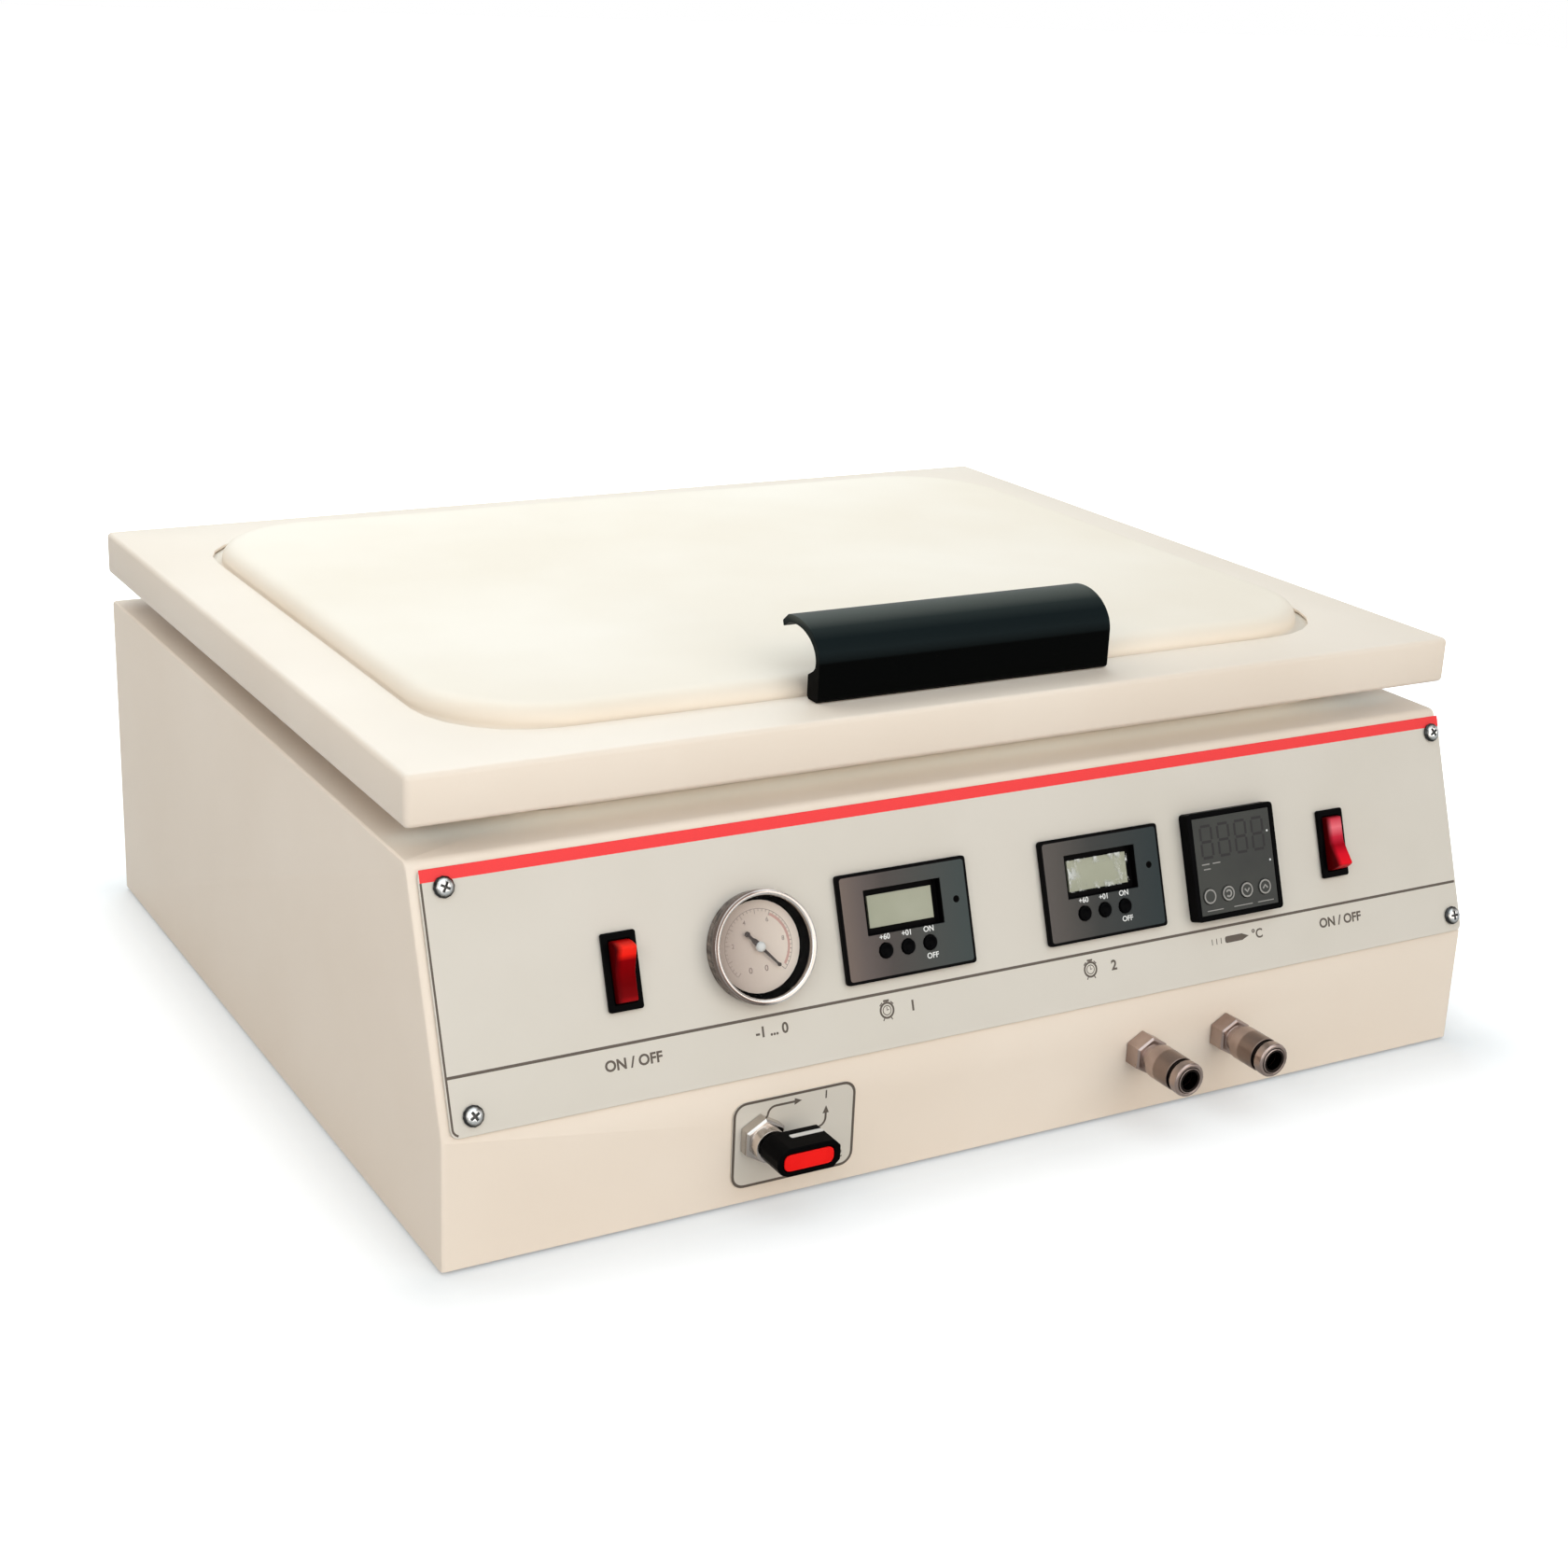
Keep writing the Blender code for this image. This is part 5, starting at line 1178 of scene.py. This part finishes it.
def make_dial_print(face):
    """The dial's scale with its plain numbers, and its pale red arc."""
    scale = Marks("gauge_scale", face, "scale_ink", "gauge_dial")
    count = dial_major_marks * dial_minor_marks
    for mark in range(count + 1):
        angle = dial_scale_start + dial_scale_turn * mark / count
        long = dial_short_mark if mark % dial_minor_marks else dial_long_mark
        scale.bar(polar(dial_scale_radius - long / 2, angle), long, dial_mark_width, angle)
    scale.stroke(arc((0, 0), dial_scale_radius, dial_scale_start,
                     dial_scale_start + dial_scale_turn, dial_line_steps), dial_line_width)
    for spot in dial_zeros:
        scale.text("0", spot, dial_zero_height)
    for number, value in enumerate(dial_numbers, 1):
        angle = dial_scale_start + dial_scale_turn * number / (len(dial_numbers) + 1)
        scale.text(value, polar(dial_number_radius, angle), dial_number_height, dial_number_weight)
    scale.done()
    red_arc = Marks("gauge_red_arc", face, "pale_red_ink", "gauge_dial")
    red_arc.stroke(arc((0, 0), dial_red_radius, *dial_red_ends, 24), dial_red_width)
    red_arc.done()


def make_pointer(centre):
    """The pointer with its round tail, and the cap on its pivot, painted white as its highlight."""
    low, high = extent("gauge_pointer", slope)
    pointer_base = low.z + pointer_foot
    outline = arc(pointer_tip, pointer_tip_radius, math.radians(-150), math.radians(150),
                  pointer_arc_steps)
    outline += pointer_side
    outline += arc(pointer_tail, pointer_tail_radius, math.radians(30), math.radians(330),
                   pointer_arc_steps)
    outline += [(x, -y) for x, y in reversed(pointer_side)]
    place = centre @ Matrix.Translation((0, 0, pointer_base + pointer_lift))
    place = place @ Matrix.Rotation(pointer_rest, 4, "Z")
    add_piece("pointer_blade", blade(outline, pointer_half_height), "pointer_paint",
              "gauge_pointer", place, ["gauge_pointer"])
    top, foot = high.z - pointer_base, low.z - pointer_base
    cap = [(out, top - drop) for out, drop in pointer_cap]
    cap += [(pointer_cap[-1][0], 0), (pointer_cap_stem, 0), (pointer_cap_stem, foot), (0, foot)]
    place = centre @ Matrix.Translation((0, 0, pointer_base))
    # painted highlight: the cap on the pivot is white
    add_piece("pointer_cap", turned(cap, pointer_cap_steps), "white_ink", "gauge_pointer", place)


def add_cap(node, crown, finish):
    """A turned cap in the place of a button or a key; gives back its radius."""
    low, high = extent(node, slope)
    radius = (high.x - low.x) / 2
    deep = low.z - high.z
    profile = [(radius * share, height) for share, height in crown] + [(radius, deep), (0, deep)]
    add_piece(f"{node}_fine", turned(profile, cap_steps), finish, node, face_of(node, slope),
              [node], sharp=cap_angle)
    return radius


def make_timers():
    """Both timers: case, dished buttons, button labels and the sounder's hole, a black disc painted
    as the hole's shade.
    """
    for name in ("pump_timer", "heat_timer"):
        case = f"{name}_case"
        dress(case)
        case_low, case_high = extent(case, slope)
        front = slope @ Matrix.Translation((0, 0, case_high.z))
        white = Marks(f"{name}_labels", front, "white_ink", case)
        for number, words in enumerate(button_words, 1):
            button = f"{name}_button_{number}"
            add_cap(button, button_crown, "black_plastic")
            low, high = extent(button, slope)
            spot = ((low.x + high.x) / 2, (low.y + high.y) / 2 + button_word_rise)
            white.text(words, spot, button_word_height)
        white.text("OFF", (spot[0] + off_word_right, spot[1] - off_word_drop), button_word_height)
        white.done()
        # painted shade: the sounder's hole is a flat black disc
        hole_shade = Marks(f"{name}_sounder", front, "shadow_plastic", case)
        hole_shade.disc((case_low.x + sounder_right, case_high.y - sounder_drop), sounder_radius)
        hole_shade.done()


def make_display_film():
    """The protective film that is still on the heat timer's display."""
    low, high = extent("heat_timer_display", slope)
    size = high - low
    bm = bmesh.new()
    shape = Matrix.Diagonal((size.x / 2 * film_cover[0], size.y / 2 * film_cover[1], 1, 1))
    bmesh.ops.create_grid(bm, x_segments=film_squares[0], y_segments=film_squares[1], size=1.0,
                          matrix=shape)
    for corner in bm.verts:
        out = max(abs(corner.co.x) / size.x, abs(corner.co.y) / size.y) * 2
        crinkle = noise.noise(Vector((corner.co.x, corner.co.y, 0)) / film_crinkle)
        corner.co.z = film_gap + max(0.0, out - film_flat_share) * film_lift * (1 + crinkle)
    add_piece("display_film", to_mesh(bm, "display_film"), "film", "heat_timer_display",
              face_of("heat_timer_display", slope))


def add_digit(marks, spot, width, height, stroke):
    """An unlit seven-segment digit."""
    gap = stroke * digit_gap_share
    half = height / 2 - stroke / 2
    for y in (-half, 0, half):
        marks.bar((spot[0], spot[1] + y), width - stroke - gap * 2, stroke)
    for x in (-(width - stroke) / 2, (width - stroke) / 2):
        for y in (-half / 2, half / 2):
            marks.bar((spot[0] + x, spot[1] + y), stroke, half - stroke - gap)


def make_controller():
    """The temperature controller: case, window, unlit digits and ringed keys."""
    dress("controller_case", "controller_window")
    window = face_of("controller_window", slope)
    dim = Marks("controller_digits", window, "dim_ink", "controller_window")
    for number in range(4):
        add_digit(dim, (digit_left + digit_step * number, digit_rise), *digit_size)
    dim.done()
    pale = Marks("controller_marks", window, "key_ink", "controller_window")
    for spot, length in window_dashes:
        pale.bar(spot, length, window_dash)
    for start, end in window_lines:
        pale.bar(((start + end) / 2, window_line_rise), end - start, window_line)
    pale.done()
    dots = Marks("controller_lamps", window, "white_ink", "controller_window")
    for spot in window_lamps:
        dots.disc(spot, window_lamp_radius)
    dots.done()
    signs = (None, arc((0, 0), key_arc_radius, math.radians(-140), math.radians(150), 12),
             key_arrow, [(x, -y) for x, y in key_arrow])
    for number, sign in enumerate(signs, 1):
        key = f"controller_key_{number}"
        radius = add_cap(key, key_crown, "dark_window")
        print_ = Marks(f"{key}_mark", face_of(key, slope), "key_ink", key)
        print_.ring((0, 0), radius * key_ring_share, key_ring_width)
        if sign:
            print_.stroke(sign, key_sign_width)
        print_.done()


def add_clock(marks, number, spot):
    """A stopwatch sign with its number beside it."""
    radius = clock_radius
    marks.ring(spot, radius, clock_ring)
    marks.ring(spot, radius * clock_inner_share, clock_hair)
    rise, width, height = clock_crown_shares
    marks.bar((spot[0], spot[1] + radius * rise), radius * width, radius * height)
    for side in (-1, 1):
        across, rise, length = clock_bell_shares
        marks.bar((spot[0] + side * radius * across, spot[1] + radius * rise), radius * length,
                  clock_bar, side * math.radians(-45))
        across, rise, length = clock_foot_shares
        marks.bar((spot[0] + side * radius * across, spot[1] + radius * rise), clock_bar,
                  radius * length, side * math.radians(30))
    marks.stroke([(radius * x, radius * y) for x, y in clock_hand_shares], clock_hair, spot=spot)
    marks.text(number, (spot[0] + clock_number_step, spot[1]), label_height, label_weight)


def make_fascia_marks():
    """The fascia's print: red stripe, lines and plain labels."""
    red = Marks("fascia_stripe", slope, "red_ink", "fascia")
    red.bar((slope_width / 2 + stripe_left / 2, slope_height - stripe_height / 2),
            slope_width - stripe_left, stripe_height)
    red.done()
    dark = Marks("fascia_lines", slope, "dark_ink", "fascia")
    dark.bar((slope_width / 2, line_place), slope_width - border_inset * 2, line_width)
    corner = border_inset + border_radius
    dark.stroke([(border_inset, slope_height - stripe_height),
                 *arc((corner, corner), border_radius, math.pi, border_turn, corner_steps)],
                border_width)
    dark.text("ON / OFF", left_switch_label, label_height, label_weight)
    dark.text("-1 ... 0", gauge_label, label_height, label_weight)
    for number, spot in timer_labels:
        add_clock(dark, number, spot)
    dark.text("°C", degree_label, label_height)
    dark.fill(rounded(*probe_size), probe_spot)
    dark.fill(probe_tip, probe_spot)
    for step_back in probe_wires:
        dark.bar((probe_spot[0] + step_back, probe_spot[1]), *probe_wire_size)
    dark.text("ON / OFF", right_switch_label, label_height, label_weight)
    dark.done()


def make_valve():
    """The valve: nut and collar, lever with a pale strip painted on as its highlight, red insert,
    and the plate's print.
    """
    dress("valve_body", "valve_lever", "lever_insert")
    low, high = extent("valve_lever", plate_front)
    top = plate_front @ Matrix.Translation((0, high.y, 0)) @ Matrix.Rotation(-math.pi / 2, 4, "X")
    # painted highlight along the lever's top edge
    highlight = Marks("lever_painted_highlight", top, "highlight_strip", "valve_lever")
    highlight.fill(rounded(*lever_highlight_size), ((low.x + high.x) / 2 + lever_highlight_step[0],
                                            -(low.z + high.z) / 2 + lever_highlight_step[1]))
    highlight.done()
    width, height = extent("valve_plate", plate_front)[1].xy
    dark = Marks("valve_plate_marks", plate_front, "dark_ink", "valve_plate")
    dark.stroke(rounded(width - plate_line_inset, height - plate_line_inset, plate_line_corner,
                        (width / 2, height / 2)), plate_line, True)
    bend = arc(*across_arrow_bend, math.pi / 2, math.pi, corner_steps)
    across = [*across_arrow_foot, *reversed(bend), across_arrow_end]
    bend = arc(*up_arrow_bend, -math.pi / 2, 0, corner_steps)
    up = [*up_arrow_foot, *bend, up_arrow_end]
    for line, head in ((across, across_arrow_head), (up, up_arrow_head)):
        dark.stroke(line, arrow_line)
        dark.fill(head)
    for number, spot in valve_numbers:
        dark.text(number, spot, valve_number_height)
    dark.done()


def make_floor():
    """A white floor that keeps the press's shadow; its glow for the camera is dimmed near the
    casing as a painted shadow.
    """
    bm = bmesh.new()
    bmesh.ops.create_grid(bm, x_segments=1, y_segments=1, size=floor_size)
    floor = bpy.data.objects.new("floor", to_mesh(bm, "floor"))
    bpy.context.scene.collection.objects.link(floor)
    paint = Paint("white_floor", floor_colour, 0.9, Specular_IOR_Level=0.0, Emission_Strength=1.0)
    seen = paint.node("ShaderNodeLightPath").outputs["Is Camera Ray"]
    low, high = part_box("casing")
    middle, half = (low + high) / 2, (high - low) / 2
    across, deep = ((abs(paint.axis(number) - middle[number]) - half[number]).most(0.0)
                    for number in range(2))
    # painted shadow: the glow that the camera sees fades towards the casing
    away = paint.share((across * across + deep * deep) ** 0.5, 0.0, glow_reach)
    paint.feed(Emission_Color=paint.mix(seen, (0.0, 0.0, 0.0, 1.0), paint.ramp(away, glow_shade_stops)))
    floor.data.materials.append(paint.material)


def make_world():
    """White where the camera or clear plastic looks; a soft sky, and a banded one in gloss."""
    world = bpy.data.worlds.new("studio")
    bpy.context.scene.world = world
    world.use_nodes = True
    sky = Graph(world.node_tree)
    sky.tree.nodes.clear()
    rays = sky.node("ShaderNodeLightPath").outputs
    way = sky.node("ShaderNodeTexCoord").outputs["Generated"]
    height = sky.node("ShaderNodeSeparateXYZ", values={0: way}).outputs["Z"]
    soft = sky.ramp(height, sky_stops)
    gloss = sky.ramp(height, gloss_stops)
    unseen = sky.mix(rays["Is Glossy Ray"], soft, gloss)
    seen = sky.node("ShaderNodeMath", {"operation": "MAXIMUM"},
                    {0: rays["Is Camera Ray"], 1: rays["Is Transmission Ray"]}).outputs[0]
    colour = sky.mix(seen, unseen, (1.0, 1.0, 1.0, 1.0))
    light = sky.node("ShaderNodeBackground", values={"Color": colour, "Strength": 1.0})
    sky.node("ShaderNodeOutputWorld", values={"Surface": light.outputs[0]})


def add_lamp(name, kind, source, strength, colour, spread):
    """A lamp that shines from its source onto the press: far and round, or a near square box."""
    lamp = bpy.data.lights.new(name, kind)
    lamp.energy = strength
    lamp.color = colour
    holder = bpy.data.objects.new(name, lamp)
    bpy.context.scene.collection.objects.link(holder)
    if kind == "SUN":
        lamp.angle = math.radians(spread)
    else:
        lamp.size = spread
        holder.location = source
        holder.visible_camera = False
    aim = Vector(source) - (lamp_target if kind == "AREA" else Vector())
    holder.rotation_euler = aim.to_track_quat("Z", "Y").to_euler()


def add_gap_lamp():
    """A thin fill lamp under the table's front border, which swings up with the lid."""
    lamp = bpy.data.lights.new("gap_lamp", "AREA")
    lamp.shape = "RECTANGLE"
    low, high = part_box("lid_frame")
    lamp.size = high.x - low.x - gap_lamp_ends
    lamp.size_y = gap_lamp_width
    lamp.energy = gap_lamp_strength
    lamp.color = gap_lamp_colour
    holder = bpy.data.objects.new("gap_lamp", lamp)
    bpy.context.scene.collection.objects.link(holder)
    front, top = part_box("table_plate")[0].y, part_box("table_plate")[1].z
    holder.location = ((low.x + high.x) / 2, front + gap_lamp_inset + gap_lamp_width / 2,
                       top - gap_lamp_drop)
    holder.visible_camera = False
    holder.visible_glossy = False
    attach(holder, body_of["lid_frame"])


def make_camera():
    """The camera, set from its place and its three turns."""
    ahead = Vector((math.sin(camera_yaw) * math.cos(camera_pitch),
                    math.cos(camera_yaw) * math.cos(camera_pitch), -math.sin(camera_pitch)))
    level = Vector((math.cos(camera_yaw), -math.sin(camera_yaw), 0))
    upright = level.cross(ahead)
    across = level * math.cos(camera_roll) + upright * math.sin(camera_roll)
    up = upright * math.cos(camera_roll) - level * math.sin(camera_roll)
    turn = Matrix((across, up, -ahead)).transposed().to_4x4()
    data = bpy.data.cameras.new("camera")
    data.lens = camera_lens
    data.sensor_width = camera_sensor
    camera = bpy.data.objects.new("camera", data)
    bpy.context.scene.collection.objects.link(camera)
    camera.matrix_world = Matrix.Translation(camera_place) @ turn
    bpy.context.scene.camera = camera


make_camera()
make_world()
make_floor()
for lamp_row in lamps:
    add_lamp(*lamp_row)
add_gap_lamp()
dress("casing", "lid_frame", "table_plate", "rear_panel", "fascia", "valve_plate", "clamp_ring",
      "table_seal")
make_membrane()
make_handle()
make_gauge()
dress(*(f"fascia_screw_{number}" for number in range(1, 5)), finish="screw_zinc")
dress(*(f"{name}_switch_{part}" for name in ("pump", "heat") for part in ("bezel", "rocker")))
make_timers()
make_display_film()
make_controller()
make_fascia_marks()
make_valve()
dress(*(f"coupler_{part}_{number}" for number in (1, 2) for part in ("body", "sleeve")))
dress(*(f"hinge_{part}_{side}" for side in ("left", "right") for part in ("base", "arm", "pin")))
dress("power_inlet", "foot_1", "foot_2", "foot_3", "foot_4")
dress("heater_mat", "base_plate", "vacuum_pump", "vacuum_hose")
bpy.context.scene.view_settings.view_transform = "Standard"
